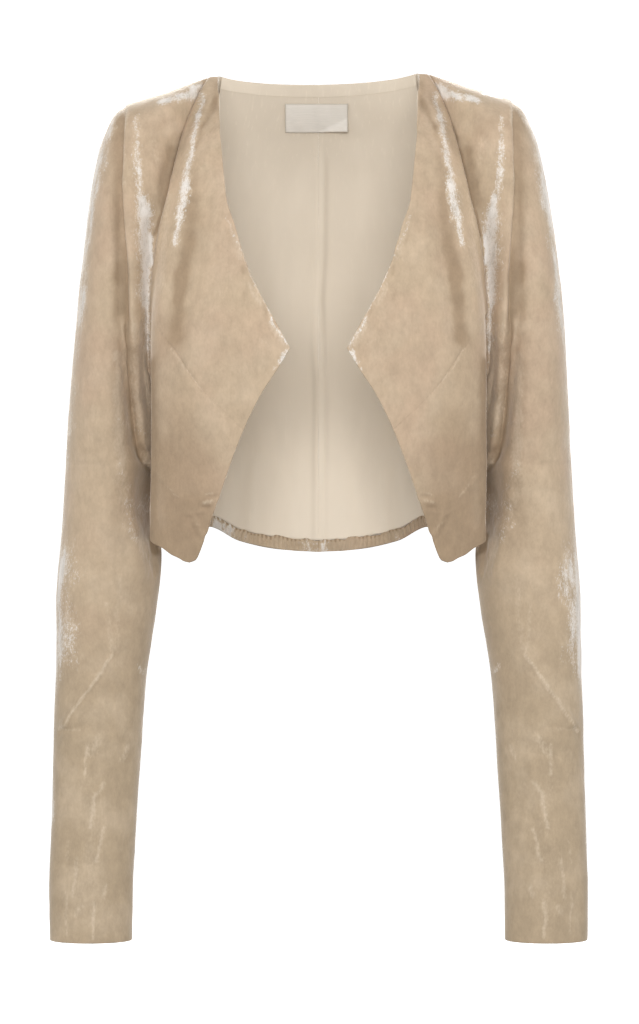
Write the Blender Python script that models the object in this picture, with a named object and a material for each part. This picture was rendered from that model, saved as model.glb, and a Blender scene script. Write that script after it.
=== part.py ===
"""Cropped velvet jacket with raglan sleeves, open cutaway fronts and a lined back, filled out as when worn.

Metres, +Z up. The wearer faces -Y, and the origin is midway between the two neck points, where the
shoulders hold the jacket up. Each panel is a thin wall on one shared surface: the body is a stack of
horizontal rings, and each sleeve is a run of sections from the neck over the shoulder to the cuff.
The half at -X is worked out first and mirrored for +X.
"""

from collections import namedtuple

import bmesh
import bpy
import numpy as np

# Cloth
VELVET = 0.0018
LINING = 0.0010
LABEL = 0.0010
SEAM_GAP = 0.0003
MITER_LIMIT = 2.0

# Rings round the body. Each has its widest points at side_y, from which the front bulges to front_y
# and the back to back_y at the centre lines.
BodyRing = namedtuple("BodyRing", "height half_width side_y front_y back_y")
BODY_RINGS = [
    BodyRing(-0.430, 0.1440, -0.050, -0.110, 0.089),
    BodyRing(-0.360, 0.1435, -0.050, -0.114, 0.087),
    BodyRing(-0.300, 0.1435, -0.050, -0.119, 0.092),
    BodyRing(-0.235, 0.1435, -0.050, -0.121, 0.098),
    BodyRing(-0.170, 0.1410, -0.043, -0.112, 0.098),
    BodyRing(-0.110, 0.1360, -0.030, -0.097, 0.090),
    BodyRing(-0.050, 0.1220, -0.010, -0.066, 0.074),
    BodyRing(-0.015, 0.1100, 0.006, -0.030, 0.062),
    BodyRing(0.010, 0.1000, 0.016, 0.004, 0.056),
]
FRONT_ROUNDNESS = 2.3
BACK_ROUNDNESS = 2.2
GIRTH_HEIGHT = -0.235

# Free edge of each front, from the neck point down to the front point, then cut away to the hem's tip.
FrontEdge = namedtuple("FrontEdge", "height x")
FRONT_EDGE = [
    FrontEdge(-0.4210, -0.1098),
    FrontEdge(-0.4190, -0.1046),
    FrontEdge(-0.4128, -0.1012),
    FrontEdge(-0.4056, -0.0985),
    FrontEdge(-0.3910, -0.0933),
    FrontEdge(-0.3677, -0.0851),
    FrontEdge(-0.3386, -0.0748),
    FrontEdge(-0.3087, -0.0632),
    FrontEdge(-0.2804, -0.0494),
    FrontEdge(-0.2602, -0.0363),
    FrontEdge(-0.2400, -0.0236),
]
NECKLINE = [
    FrontEdge(-0.2400, -0.0236),
    FrontEdge(-0.2252, -0.0317),
    FrontEdge(-0.2086, -0.0410),
    FrontEdge(-0.1841, -0.0538),
    FrontEdge(-0.1640, -0.0623),
    FrontEdge(-0.1341, -0.0710),
    FrontEdge(-0.1112, -0.0784),
    FrontEdge(-0.0701, -0.0825),
    FrontEdge(-0.0344, -0.0862),
    FrontEdge(0.0025, -0.0880),
]
POINT_HEIGHT = -0.2400
BUST_SEAM_HEIGHT = -0.3087
TIP_HEIGHT = -0.4210

# How far the bust seam lies above a straight line, by share of its run from the front edge to the raglan seam.
SeamRise = namedtuple("SeamRise", "share rise")
BUST_SEAM = [
    SeamRise(0.0, 0.0),
    SeamRise(0.3, -0.0010),
    SeamRise(0.6, 0.0070),
    SeamRise(0.8, 0.0050),
    SeamRise(1.0, 0.0),
]

# Raglan seams: the ring angle of the seam at each height, 0 at the front centre and 180 at the back.
Raglan = namedtuple("Raglan", "height angle")
SIDE_ANGLE = 118.0
UNDERARM_HEIGHT = -0.334
RAGLAN_FRONT = [
    Raglan(UNDERARM_HEIGHT, SIDE_ANGLE),
    Raglan(-0.300, 108.5),
    Raglan(-0.262, 98.5),
    Raglan(-0.231, 92.5),
    Raglan(-0.197, 88.0),
    Raglan(-0.163, 82.0),
    Raglan(-0.128, 75.5),
    Raglan(-0.103, 70.5),
    Raglan(-0.080, 69.8),
    Raglan(-0.049, 70.5),
    Raglan(-0.016, 71.0),
    Raglan(0.0020, 68.0),
]
RAGLAN_BACK = [
    Raglan(UNDERARM_HEIGHT, SIDE_ANGLE),
    Raglan(-0.290, 119.0),
    Raglan(-0.235, 121.0),
    Raglan(-0.170, 124.0),
    Raglan(-0.110, 127.0),
    Raglan(-0.050, 128.5),
    Raglan(-0.018, 125.5),
    Raglan(0.0072, 121.5),
]

# Hem line by ring angle, highest at the side seam and lowest at the fronts' tips.
Hem = namedtuple("Hem", "angle height")
HEM = [
    Hem(47.0, TIP_HEIGHT),
    Hem(49.9, -0.4200),
    Hem(53.5, -0.4172),
    Hem(58.2, -0.4146),
    Hem(66.7, -0.4085),
    Hem(85.5, -0.4029),
    Hem(100.0, -0.3980),
    Hem(SIDE_ANGLE, -0.3920),
    Hem(138.9, -0.3910),
    Hem(153.1, -0.4040),
    Hem(168.0, -0.4115),
    Hem(180.0, -0.4135),
]
BACK_NECK_DIP = 0.0066

# Line over the shoulder and down the outside of the sleeve.
OverArm = namedtuple("OverArm", "x y height")
OVER_ARM = [
    OverArm(-0.0975, 0.012, 0.0022),
    OverArm(-0.1167, 0.008, -0.0052),
    OverArm(-0.1314, 0.006, -0.0112),
    OverArm(-0.1515, 0.005, -0.0170),
    OverArm(-0.1660, 0.003, -0.0225),
    OverArm(-0.1765, 0.002, -0.0300),
    OverArm(-0.1845, 0.002, -0.0448),
    OverArm(-0.1906, 0.002, -0.0622),
    OverArm(-0.1976, 0.002, -0.0971),
    OverArm(-0.2052, 0.003, -0.1600),
    OverArm(-0.2117, 0.005, -0.2191),
    OverArm(-0.2170, 0.010, -0.2750),
    OverArm(-0.2206, 0.016, UNDERARM_HEIGHT),
]

# Sleeve sections above the underarm, by share of the run from neck to underarm. The section bulges to
# front_y and back_y at the given shares of the way from the seam to the over-arm line.
ShoulderSection = namedtuple("ShoulderSection", "run front_y front_share back_y back_share")
SHOULDER_SECTIONS = [
    ShoulderSection(0.00, 0.008, 0.50, 0.040, 0.50),
    ShoulderSection(0.10, -0.038, 0.46, 0.052, 0.48),
    ShoulderSection(0.25, -0.060, 0.46, 0.064, 0.48),
    ShoulderSection(0.50, -0.067, 0.50, 0.078, 0.50),
    ShoulderSection(0.75, -0.062, 0.52, 0.080, 0.52),
    ShoulderSection(1.00, -0.048, 0.52, 0.074, 0.52),
]

# Sleeve sections below the underarm. Near the underarm the section is pinched to a cusp at its seam.
ArmSection = namedtuple("ArmSection", "height outer_x inner_x front_y mid_y back_y pinch")
CUFF_HEIGHT = -0.749
ARM_SECTIONS = [
    ArmSection(CUFF_HEIGHT, -0.2325, -0.1620, -0.052, -0.019, 0.014, 0.0),
    ArmSection(-0.706, -0.2330, -0.1618, -0.050, -0.016, 0.018, 0.0),
    ArmSection(-0.655, -0.2318, -0.1596, -0.047, -0.010, 0.026, 0.0),
    ArmSection(-0.586, -0.2305, -0.1556, -0.042, 0.000, 0.040, 0.0),
    ArmSection(-0.523, -0.2292, -0.1512, -0.039, 0.007, 0.051, 0.0),
    ArmSection(-0.458, -0.2287, -0.1415, -0.039, 0.012, 0.060, 0.1),
    ArmSection(-0.415, -0.2260, -0.1372, -0.040, 0.016, 0.065, 0.4),
    ArmSection(-0.385, -0.2238, -0.1395, -0.042, 0.018, 0.068, 0.7),
    ArmSection(-0.358, -0.2222, -0.1360, -0.045, 0.018, 0.071, 0.9),
    ArmSection(UNDERARM_HEIGHT, -0.2206, -0.1280, -0.048, 0.018, 0.074, 1.0),
]
CUSP_SLOPE = 0.6

# Large folds, each a soft trough (negative depth) or ridge along a line as seen from the front or back.
Fold = namedtuple("Fold", "x0 height0 x1 height1 half_width depth")
FRONT_FOLDS = [
    Fold(-0.100, -0.050, -0.1180, -0.150, 0.012, 0.0035),
    Fold(-0.1180, -0.150, -0.1310, -0.215, 0.012, 0.0040),
    Fold(-0.0990, -0.095, -0.1100, -0.165, 0.010, -0.0045),
    Fold(-0.1100, -0.165, -0.1160, -0.230, 0.010, -0.0055),
    Fold(-0.0880, -0.035, -0.0990, -0.070, 0.006, -0.0020),
]
BACK_FOLDS = [
    Fold(-0.0300, -0.300, -0.0420, -0.405, 0.016, 0.0040),
    Fold(-0.0700, -0.310, -0.0800, -0.395, 0.013, -0.0035),
]
SLEEVE_FRONT_FOLDS = [
    Fold(-0.1240, -0.055, -0.1400, -0.125, 0.0090, -0.0020),
    Fold(-0.1400, -0.125, -0.1490, -0.215, 0.0090, -0.0035),
    Fold(-0.1490, -0.215, -0.1490, -0.290, 0.0080, -0.0045),
    Fold(-0.1715, -0.040, -0.1710, -0.110, 0.0065, -0.0030),
    Fold(-0.1710, -0.110, -0.1685, -0.215, 0.0065, -0.0045),
    Fold(-0.1685, -0.215, -0.1565, -0.326, 0.0065, -0.0045),
    Fold(-0.1600, -0.085, -0.1590, -0.235, 0.0080, 0.0030),
    Fold(-0.2200, -0.566, -0.1780, -0.505, 0.0060, 0.0018),
]
SLEEVE_BACK_FOLDS = [
    Fold(-0.1300, -0.110, -0.1420, -0.215, 0.009, -0.0090),
    Fold(-0.1750, -0.085, -0.1650, -0.300, 0.008, -0.0060),
    Fold(-0.2200, -0.545, -0.1750, -0.520, 0.007, -0.0025),
    Fold(-0.2150, -0.500, -0.1700, -0.490, 0.007, -0.0020),
]

# How the two sides differ: the left shoulder sits a little higher, and the left sleeve is a little fuller.
SHOULDER_TILT = 0.0150
TILT_HEIGHT = -0.100
LEFT_FULLNESS = 0.0035
LEFT_FULLNESS_HEIGHT = -0.165
LEFT_FULLNESS_REACH = 0.080

# Inside trim on the back
HEM_BAND = 0.0105
HEM_BAND_GAP = 0.0007
HEM_PUCKERS = 38
PUCKER_DEPTH = 0.0011
NECK_FACING = 0.0105
LABEL_WIDTH = 0.056
LABEL_HEIGHT = 0.025
LABEL_TOP = -0.0162
LABEL_CENTRE = -0.0018
LINING_SIDE = 0.0030

# Grid counts. Rows run down each panel, columns across it, and neighbours share theirs at a seam.
RAGLAN_ROWS = 18
SEAM_ROW = 11
POINT_ROW = 9
SIDE_ROWS = 3
ARM_ROWS = 12
FRONT_COLUMNS = 10
BACK_COLUMNS = 10
SLEEVE_FRONT_COLUMNS = 18
SLEEVE_BACK_COLUMNS = 10
COLUMNS_PER_PUCKER = 3
SEAM_FADE = 1.5
NO_FADE = 1e-6

VELVET_COLOUR = (0.590, 0.440, 0.290)
LINING_COLOUR = (0.640, 0.545, 0.410)
LABEL_COLOUR = (0.780, 0.740, 0.660)


def column(table, name):
    return np.array([getattr(row, name) for row in table])


def smooth(knots, values, at):
    """Smooth curve through the values, with no overshoot between knots, which rise."""
    at = np.clip(np.asarray(at, float), knots[0], knots[-1])
    steps = np.diff(knots)
    slopes = np.diff(values) / steps
    tangents = np.empty(len(knots))
    tangents[0], tangents[-1] = slopes[0], slopes[-1]
    before, after = slopes[:-1], slopes[1:]
    same_way = before * after > 0
    safe = np.where(same_way, before + after, 1.0)
    tangents[1:-1] = np.where(same_way, 2 * before * after / safe, 0.0)
    k = np.clip(np.searchsorted(knots, at, side="right") - 1, 0, len(steps) - 1)
    t = (at - knots[k]) / steps[k]
    return (
        values[k] * (1 + 2 * t) * (1 - t) ** 2
        + tangents[k] * steps[k] * t * (1 - t) ** 2
        + values[k + 1] * t * t * (3 - 2 * t)
        + tangents[k + 1] * steps[k] * t * t * (t - 1)
    )


def read(table, key, name, at):
    return smooth(column(table, key), column(table, name), at)


# The body's surface, in girth share (0 at the front centre, 1 at the back centre) and height


def ring_xy(height, angle):
    width = read(BODY_RINGS, "height", "half_width", height)
    side = read(BODY_RINGS, "height", "side_y", height)
    front = read(BODY_RINGS, "height", "front_y", height)
    back = read(BODY_RINGS, "height", "back_y", height)
    sine = np.clip(np.sin(angle), 0.0, 1.0)
    cosine = np.cos(angle)
    is_front = cosine > 0
    power = np.where(is_front, 2 / FRONT_ROUNDNESS, 2 / BACK_ROUNDNESS)
    bulge = np.where(is_front, front - side, back - side)
    return -width * sine**power, side + bulge * np.abs(cosine) ** power


RING_ANGLES = np.linspace(0, np.pi, 361)
RING_X, RING_Y = ring_xy(np.full(361, GIRTH_HEIGHT), RING_ANGLES)
RING_LENGTHS = np.concatenate([[0], np.cumsum(np.hypot(np.diff(RING_X), np.diff(RING_Y)))])
RING_SHARES = RING_LENGTHS / RING_LENGTHS[-1]


def share_of_angle(degrees):
    return np.interp(np.radians(degrees), RING_ANGLES, RING_SHARES)


def share_of_front_x(height, x):
    width = read(BODY_RINGS, "height", "half_width", height)
    angle = np.arcsin(np.clip(-x / width, 0, 1) ** (FRONT_ROUNDNESS / 2))
    return np.interp(angle, RING_ANGLES, RING_SHARES)


def body_points(flat):
    """Points of the body's surface at (girth share, height) pairs."""
    share, height = flat[..., 0], flat[..., 1]
    x, y = ring_xy(height, np.interp(share, RING_SHARES, RING_ANGLES))
    return np.stack([x, y, height], axis=-1)


def pairs(share, height):
    return np.stack([np.broadcast_to(share, np.shape(height)), height], axis=-1)


def coons(left, right, top, bottom):
    """Grid filled in between four edges, in girth share and height. Rows run from top to bottom."""
    down = np.linspace(0, 1, len(left))[:, None, None]
    across = np.linspace(0, 1, len(top))[None, :, None]
    sides = (1 - across) * left[:, None] + across * right[:, None]
    ends = (1 - down) * top[None] + down * bottom[None]
    corners = (1 - down) * ((1 - across) * top[0] + across * top[-1]) + down * (
        (1 - across) * bottom[0] + across * bottom[-1]
    )
    return sides + ends - corners


def straight(start, end, count):
    return start + (end - start) * np.linspace(0, 1, count + 1)[:, None]


# Seam and edge lines


def raglan_line(table):
    top = table[-1].height
    heights = np.linspace(top, UNDERARM_HEIGHT, RAGLAN_ROWS + 1)
    return pairs(share_of_angle(read(table, "height", "angle", heights)), heights)


def hem_line(start_angle, end_angle, count):
    shares = np.linspace(share_of_angle(start_angle), share_of_angle(end_angle), count + 1)
    angles = np.degrees(np.interp(shares, RING_SHARES, RING_ANGLES))
    return pairs(shares, read(HEM, "angle", "height", angles))


def side_seam():
    """From the underarm to the hem, with its last row at the top of the hem's turn-up."""
    hem = hem_line(SIDE_ANGLE, SIDE_ANGLE, 0)[0, 1]
    heights = np.append(np.linspace(UNDERARM_HEIGHT, hem + HEM_BAND, SIDE_ROWS), hem)
    return pairs(share_of_angle(SIDE_ANGLE), heights)


def front_edge_line(table, heights):
    x = read(table, "height", "x", heights)
    return pairs(share_of_front_x(heights, x), heights)


def bust_seam_line():
    """From the front edge to the raglan seam, bowed up in the half near the raglan."""
    start = front_edge_line(FRONT_EDGE, np.array([BUST_SEAM_HEIGHT]))[0]
    line = straight(start, raglan_line(RAGLAN_FRONT)[SEAM_ROW], FRONT_COLUMNS)
    line[:, 1] += read(BUST_SEAM, "share", "rise", np.linspace(0, 1, FRONT_COLUMNS + 1))
    return line


# Panels as grids of outer points


def folded(points, folds, facing, first_fade, last_fade):
    """Points moved along their normals by the folds, on the side that faces -Y (-1) or +Y (1).

    The folds die out over first_fade and last_fade columns at the two side borders.
    """
    normals = grid_normals(points)
    columns = np.arange(points.shape[1])
    fade = np.clip(columns / first_fade, 0, 1) * np.clip(columns[::-1] / last_fade, 0, 1)
    strength = np.clip(facing * normals[..., 1] * 1.6, 0, 1) * fade
    x, z = points[..., 0], points[..., 2]
    moved = np.zeros_like(x)
    for f in folds:
        along = np.array([f.x1 - f.x0, f.height1 - f.height0])
        length = np.hypot(*along)
        run = ((x - f.x0) * along[0] + (z - f.height0) * along[1]) / length
        off = ((x - f.x0) * along[1] - (z - f.height0) * along[0]) / length
        ends = np.clip(np.minimum(run, length - run) / (2 * f.half_width) + 0.5, 0, 1)
        moved += f.depth * eased(ends) * np.exp(-((off / f.half_width) ** 2))
    return points + normals * (moved * strength)[..., None]


def front_upper():
    neckline_heights = np.linspace(NECKLINE[-1].height, POINT_HEIGHT, POINT_ROW + 1)
    point_heights = np.linspace(POINT_HEIGHT, BUST_SEAM_HEIGHT, SEAM_ROW - POINT_ROW + 1)
    edge = np.concatenate(
        [front_edge_line(NECKLINE, neckline_heights), front_edge_line(FRONT_EDGE, point_heights[1:])]
    )
    seam = raglan_line(RAGLAN_FRONT)[: SEAM_ROW + 1]
    neck = straight(edge[0], seam[0], FRONT_COLUMNS)
    flat = coons(edge, seam, neck, bust_seam_line())
    return folded(body_points(flat), FRONT_FOLDS, -1, NO_FADE, SEAM_FADE)


def front_lower():
    rows = RAGLAN_ROWS - SEAM_ROW + SIDE_ROWS
    shares = 1 - (1 - np.linspace(0, 1, rows + 1)) ** 1.4
    edge = front_edge_line(FRONT_EDGE, BUST_SEAM_HEIGHT + (TIP_HEIGHT - BUST_SEAM_HEIGHT) * shares)
    outer = np.concatenate([raglan_line(RAGLAN_FRONT)[SEAM_ROW:], side_seam()[1:]])
    hem = hem_line(HEM[0].angle, SIDE_ANGLE, FRONT_COLUMNS)
    hem[0] = edge[-1]
    return folded(body_points(coons(edge, outer, bust_seam_line(), hem)), FRONT_FOLDS, -1, NO_FADE, SEAM_FADE)


def back():
    """From the raglan and side seams to the centre seam. The last row is the hem's turn-up."""
    left = np.concatenate([raglan_line(RAGLAN_BACK), side_seam()[1:]])
    hem = hem_line(SIDE_ANGLE, 180.0, BACK_COLUMNS)
    neck = straight(left[0], np.array([1.0, left[0, 1]]), BACK_COLUMNS)
    across = np.linspace(0, 1, BACK_COLUMNS + 1)
    neck[:, 1] -= BACK_NECK_DIP * across * (2 - across)
    heights = np.linspace(neck[-1, 1], hem[-1, 1] + HEM_BAND, len(left) - 1)
    centre = pairs(1.0, np.append(heights, hem[-1, 1]))
    points = folded(body_points(coons(left, centre, neck, hem)), BACK_FOLDS, 1, SEAM_FADE, SEAM_FADE)
    points[:, -1, 0] = 0.0
    return points


def over_arm(run):
    """Over-arm line by share of its length from neck to underarm."""
    line = np.stack([column(OVER_ARM, "x"), column(OVER_ARM, "y"), column(OVER_ARM, "height")], axis=-1)
    lengths = np.concatenate([[0], np.cumsum(np.linalg.norm(np.diff(line, axis=0), axis=1))])
    shares = lengths / lengths[-1]
    return np.stack([smooth(shares, line[:, k], run) for k in range(3)], axis=-1)


def half_section(seam, outer, bulge_y, bulge_share, pinch, columns):
    """From the seam out to the over-arm line, bulging between them, for every row at once."""
    across = np.linspace(0, 1, columns + 1)[None, :]
    inner = np.clip(2 * across, 0, 1)
    rest = np.clip(2 * across - 1, 0, 1)
    bulge_y, bulge_share, pinch = bulge_y[:, None], bulge_share[:, None], pinch[:, None]
    seam_y, outer_y = seam[:, None, 1], outer[:, None, 1]
    round_share = bulge_share * (1 - np.cos(inner * np.pi / 2))
    round_y = seam_y + (bulge_y - seam_y) * np.sin(inner * np.pi / 2)
    rise = inner**2 * (3 - 2 * inner) + CUSP_SLOPE * inner * (1 - inner) ** 2
    sharp_share = bulge_share * inner
    sharp_y = seam_y + (bulge_y - seam_y) * rise
    share = pinch * sharp_share + (1 - pinch) * round_share
    y = pinch * sharp_y + (1 - pinch) * round_y
    share = np.where(across > 0.5, bulge_share + (1 - bulge_share) * np.sin(rest * np.pi / 2), share)
    y = np.where(across > 0.5, outer_y + (bulge_y - outer_y) * np.cos(rest * np.pi / 2), y)
    x = seam[:, None, 0] + share * (outer[:, None, 0] - seam[:, None, 0])
    z = seam[:, None, 2] + share * (outer[:, None, 2] - seam[:, None, 2])
    return np.stack([x, y, z], axis=-1)


def sleeve():
    """From the front raglan seam round the outside to the back one, and below them round to itself."""
    run = np.linspace(0, 1, RAGLAN_ROWS + 1)
    arm = np.linspace(UNDERARM_HEIGHT, CUFF_HEIGHT, ARM_ROWS + 1)[1:]
    underarm_seam = np.stack(
        [read(ARM_SECTIONS, "height", "inner_x", arm), read(ARM_SECTIONS, "height", "mid_y", arm), arm], axis=-1
    )
    outer = np.concatenate(
        [
            over_arm(run),
            np.stack(
                [read(ARM_SECTIONS, "height", "outer_x", arm), read(ARM_SECTIONS, "height", "mid_y", arm), arm],
                axis=-1,
            ),
        ]
    )
    pinch = np.concatenate([np.ones(RAGLAN_ROWS + 1), read(ARM_SECTIONS, "height", "pinch", arm)])
    halves = []
    for raglan, side, columns in (
        (RAGLAN_FRONT, "front", SLEEVE_FRONT_COLUMNS),
        (RAGLAN_BACK, "back", SLEEVE_BACK_COLUMNS),
    ):
        seam = np.concatenate([body_points(raglan_line(raglan)), underarm_seam])
        bulge_y = np.concatenate(
            [read(SHOULDER_SECTIONS, "run", side + "_y", run), read(ARM_SECTIONS, "height", side + "_y", arm)]
        )
        share = np.concatenate(
            [read(SHOULDER_SECTIONS, "run", side + "_share", run), np.full(ARM_ROWS, 0.5)]
        )
        halves.append(half_section(seam, outer, bulge_y, share, pinch, columns))
    points = np.concatenate([halves[0], halves[1][:, -2::-1]], axis=1)
    points = folded(points, SLEEVE_FRONT_FOLDS, -1, SEAM_FADE, SEAM_FADE)
    return folded(points, SLEEVE_BACK_FOLDS, 1, SEAM_FADE, SEAM_FADE)


def mirrored(points):
    return (points * np.array([-1.0, 1.0, 1.0]))[:, ::-1]


def eased(share):
    share = np.clip(share, 0, 1)
    return share * share * (3 - 2 * share)


def uneven(points):
    """The small differences between the two sides."""
    x, z = points[..., 0], points[..., 2]
    made = points.copy()
    made[..., 2] += SHOULDER_TILT * x * eased(1 - z / TILT_HEIGHT)
    reach = np.exp(-(((z - LEFT_FULLNESS_HEIGHT) / LEFT_FULLNESS_REACH) ** 2))
    made[..., 0] += LEFT_FULLNESS * reach * eased((x - 0.14) / 0.06)
    return made


# Walls


def face_normals(points):
    one = points[1:, 1:] - points[:-1, :-1]
    two = points[:-1, 1:] - points[1:, :-1]
    normals = np.cross(one, two)
    return -normals / np.maximum(np.linalg.norm(normals, axis=-1, keepdims=True), 1e-12)


def grid_normals(points):
    faces = face_normals(points)
    total = np.zeros_like(points)
    for i in (0, 1):
        for j in (0, 1):
            total[i : i + len(faces), j : j + faces.shape[1]] += faces
    return total / np.maximum(np.linalg.norm(total, axis=-1, keepdims=True), 1e-12)


def seam_key(name, point):
    """Where a point is, so that grids which meet there share it. From the underarm down, sleeves and body part."""
    is_sleeve = name.startswith("sleeve") and point[2] < UNDERARM_HEIGHT + SEAM_GAP
    return (*np.round(point * 1e5).astype(int), is_sleeve)


def shared_normals(grids):
    """Outward normals for each grid, averaged where grids meet at a seam and lengthened as a miter."""
    around = {}
    for name, points in grids.items():
        faces = face_normals(points)
        for i, j in np.ndindex(faces.shape[:2]):
            for corner in ((i, j), (i + 1, j), (i, j + 1), (i + 1, j + 1)):
                around.setdefault(seam_key(name, points[corner]), []).append(faces[i, j])
    made = {}
    for name, points in grids.items():
        normals = np.empty_like(points)
        for i, j in np.ndindex(points.shape[:2]):
            mean = np.mean(around[seam_key(name, points[i, j])], axis=0)
            size = np.linalg.norm(mean)
            normals[i, j] = mean / size * min(1 / size, MITER_LIMIT)
        made[name] = normals
    return made


def parted(points, first_is_side=True, side=SEAM_GAP / 2):
    """Grid with its borders drawn in by half a seam gap, and its side border by the distance given."""
    first, last = (side, SEAM_GAP / 2) if first_is_side else (SEAM_GAP / 2, side)
    borders = [(0, 0, 1, SEAM_GAP / 2), (0, -1, -2, SEAM_GAP / 2), (1, 0, 1, first), (1, -1, -2, last)]
    made = points.copy()
    for axis, edge, beside, distance in borders:
        lines = np.moveaxis(points, axis, 0)
        inward = lines[beside] - lines[edge]
        inward /= np.linalg.norm(inward, axis=-1, keepdims=True)
        np.moveaxis(made, axis, 0)[edge] += inward * distance
    return made


def material(name, colour, roughness):
    made = bpy.data.materials.new(name)
    made.use_nodes = True
    shader = made.node_tree.nodes["Principled BSDF"]
    shader.inputs["Base Color"].default_value = (*colour, 1.0)
    shader.inputs["Roughness"].default_value = roughness
    shader.inputs["Metallic"].default_value = 0.0
    return made


def wall(name, outer, normals, thickness, cloth):
    """Closed wall between a grid and the same grid moved in along its normals.

    Facets are split the same way in every layer, and along a seam the same way on both its sides.
    """
    inner = outer - normals * thickness
    rows, columns = outer.shape[:2]
    bm = bmesh.new()
    layers = [[[bm.verts.new(p) for p in line] for line in layer] for layer in (outer, inner)]
    on_left = outer[..., 0].mean() > 0
    for i in range(rows - 1):
        for j in range(columns - 1):
            for layer, turn in zip(layers, (1, -1)):
                ring = [layer[i][j], layer[i + 1][j], layer[i + 1][j + 1], layer[i][j + 1]]
                if on_left:
                    ring = ring[1:] + ring[:1]
                bm.faces.new([ring[0], ring[1], ring[2]][::turn])
                bm.faces.new([ring[0], ring[2], ring[3]][::turn])
    rim = [(i, 0) for i in range(rows)]
    rim += [(rows - 1, j) for j in range(1, columns)]
    rim += [(i, columns - 1) for i in range(rows - 2, -1, -1)]
    rim += [(0, j) for j in range(columns - 2, 0, -1)]
    for (a, b), (c, d) in zip(rim, rim[1:] + rim[:1]):
        ring = [layers[0][c][d], layers[0][a][b], layers[1][a][b], layers[1][c][d]]
        if outer[c, d, 2] > outer[a, b, 2]:
            ring = ring[1:] + ring[:1]
        bm.faces.new([ring[0], ring[1], ring[3]])
        bm.faces.new([ring[1], ring[2], ring[3]])
    bmesh.ops.recalc_face_normals(bm, faces=bm.faces)
    mesh = bpy.data.meshes.new(name)
    bm.to_mesh(mesh)
    bm.free()
    mesh.shade_smooth()
    mesh.set_sharp_from_angle(angle=np.radians(50))
    mesh.materials.append(cloth)
    made = bpy.data.objects.new(name, mesh)
    bpy.context.scene.collection.objects.link(made)
    return made


def resampled(points, rows, columns):
    """Grid read off at fractional rows and columns, keeping to its facets."""
    row_lines = np.stack(
        [
            np.stack([np.interp(rows, np.arange(len(points)), points[:, j, k]) for k in range(3)], axis=-1)
            for j in range(points.shape[1])
        ],
        axis=1,
    )
    return np.stack(
        [
            np.stack([np.interp(columns, np.arange(points.shape[1]), line[:, k]) for k in range(3)], axis=-1)
            for line in row_lines
        ]
    )


# The outside of the jacket
for existing in list(bpy.data.objects):
    bpy.data.objects.remove(existing)

velvet = material("velvet", VELVET_COLOUR, 0.85)
lining_cloth = material("lining_cloth", LINING_COLOUR, 0.75)
label_satin = material("label_satin", LABEL_COLOUR, 0.40)

half = {"front_upper": front_upper(), "front_lower": front_lower(), "back": back(), "sleeve": sleeve()}
half["front_lower"][0] = half["front_upper"][-1]
outside = {name + "_right": uneven(points) for name, points in half.items()}
outside.update({name + "_left": uneven(mirrored(points)) for name, points in half.items()})
outside_normals = shared_normals(outside)
for name, points in outside.items():
    wall(name, parted(points), outside_normals[name], VELVET, velvet)

# The back's lining, which stops at the hem's turn-up
under_back = {}
under_normals = {}
for side in ("right", "left"):
    under_normals[side] = outside_normals["back_" + side]
    under_back[side] = outside["back_" + side] - under_normals[side] * (VELVET + SEAM_GAP)
lining = {"lining_" + side: points[:-1] for side, points in under_back.items()}
lining_normals = shared_normals(lining)
for name, points in lining.items():
    wall(name, parted(points, name.endswith("right"), LINING_SIDE), lining_normals[name], LINING, lining_cloth)

# The hem's turn-up, drawn in by its stitching into small puckers
pucker_columns = np.linspace(0, BACK_COLUMNS, HEM_PUCKERS * COLUMNS_PER_PUCKER + 1)
band_rows = len(under_back["right"]) - 2 + np.linspace(0, 1, 4)
pucker_phase = np.arange(len(pucker_columns)) * 2 * np.pi / COLUMNS_PER_PUCKER
pucker_rows = np.array([0.3, 1.0, 0.7, 0.0])
band_thickness = VELVET + PUCKER_DEPTH * pucker_rows[:, None] * (0.5 - 0.5 * np.cos(pucker_phase))[None, :]
for side in ("right", "left"):
    band = resampled(under_back[side], band_rows, pucker_columns)
    band_normals = resampled(under_normals[side], band_rows, pucker_columns)
    drawn_in = parted(band - band_normals * HEM_BAND_GAP, side == "right", LINING_SIDE)
    wall("hem_band_" + side, drawn_in, band_normals, band_thickness[..., None], velvet)

# The neck facing and the label, laid on the lining across both halves
on_lining = {name: points - lining_normals[name] * (LINING + SEAM_GAP) for name, points in lining.items()}
across = np.concatenate([on_lining["lining_right"], on_lining["lining_left"][:, 1:]], axis=1)
across_normals = np.concatenate([lining_normals["lining_right"], lining_normals["lining_left"][:, 1:]], axis=1)
facing_columns = np.arange(1, across.shape[1] - 1)
row_height = across[0, BACK_COLUMNS, 2] - across[1, BACK_COLUMNS, 2]
facing_rows = np.array([0.0, NECK_FACING / row_height])
facing = resampled(across, facing_rows, facing_columns)
wall("neck_facing", parted(facing), resampled(across_normals, facing_rows, facing_columns), LINING, lining_cloth)

label_x = LABEL_CENTRE + np.linspace(-LABEL_WIDTH / 2, LABEL_WIDTH / 2, 9)
label_lines = []
for height in np.linspace(LABEL_TOP, LABEL_TOP - LABEL_HEIGHT, 5):
    row = np.interp(-height, -across[:, BACK_COLUMNS, 2], np.arange(len(across)))
    line = resampled(across, np.array([row]), np.arange(across.shape[1]))[0]
    depth = np.interp(label_x, line[:, 0], line[:, 1])
    label_lines.append(np.stack([label_x, depth, np.full(len(label_x), height)], axis=-1))
label = np.array(label_lines)
wall("label", label, grid_normals(label), LABEL, label_satin)
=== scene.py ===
"""The velvet jacket as cloth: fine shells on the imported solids' own surfaces, with creases, nap and trim.

Metres, +Z up, the wearer facing -Y. The half at -X is drawn first and mirrored, then made slightly uneven.
"""

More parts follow.
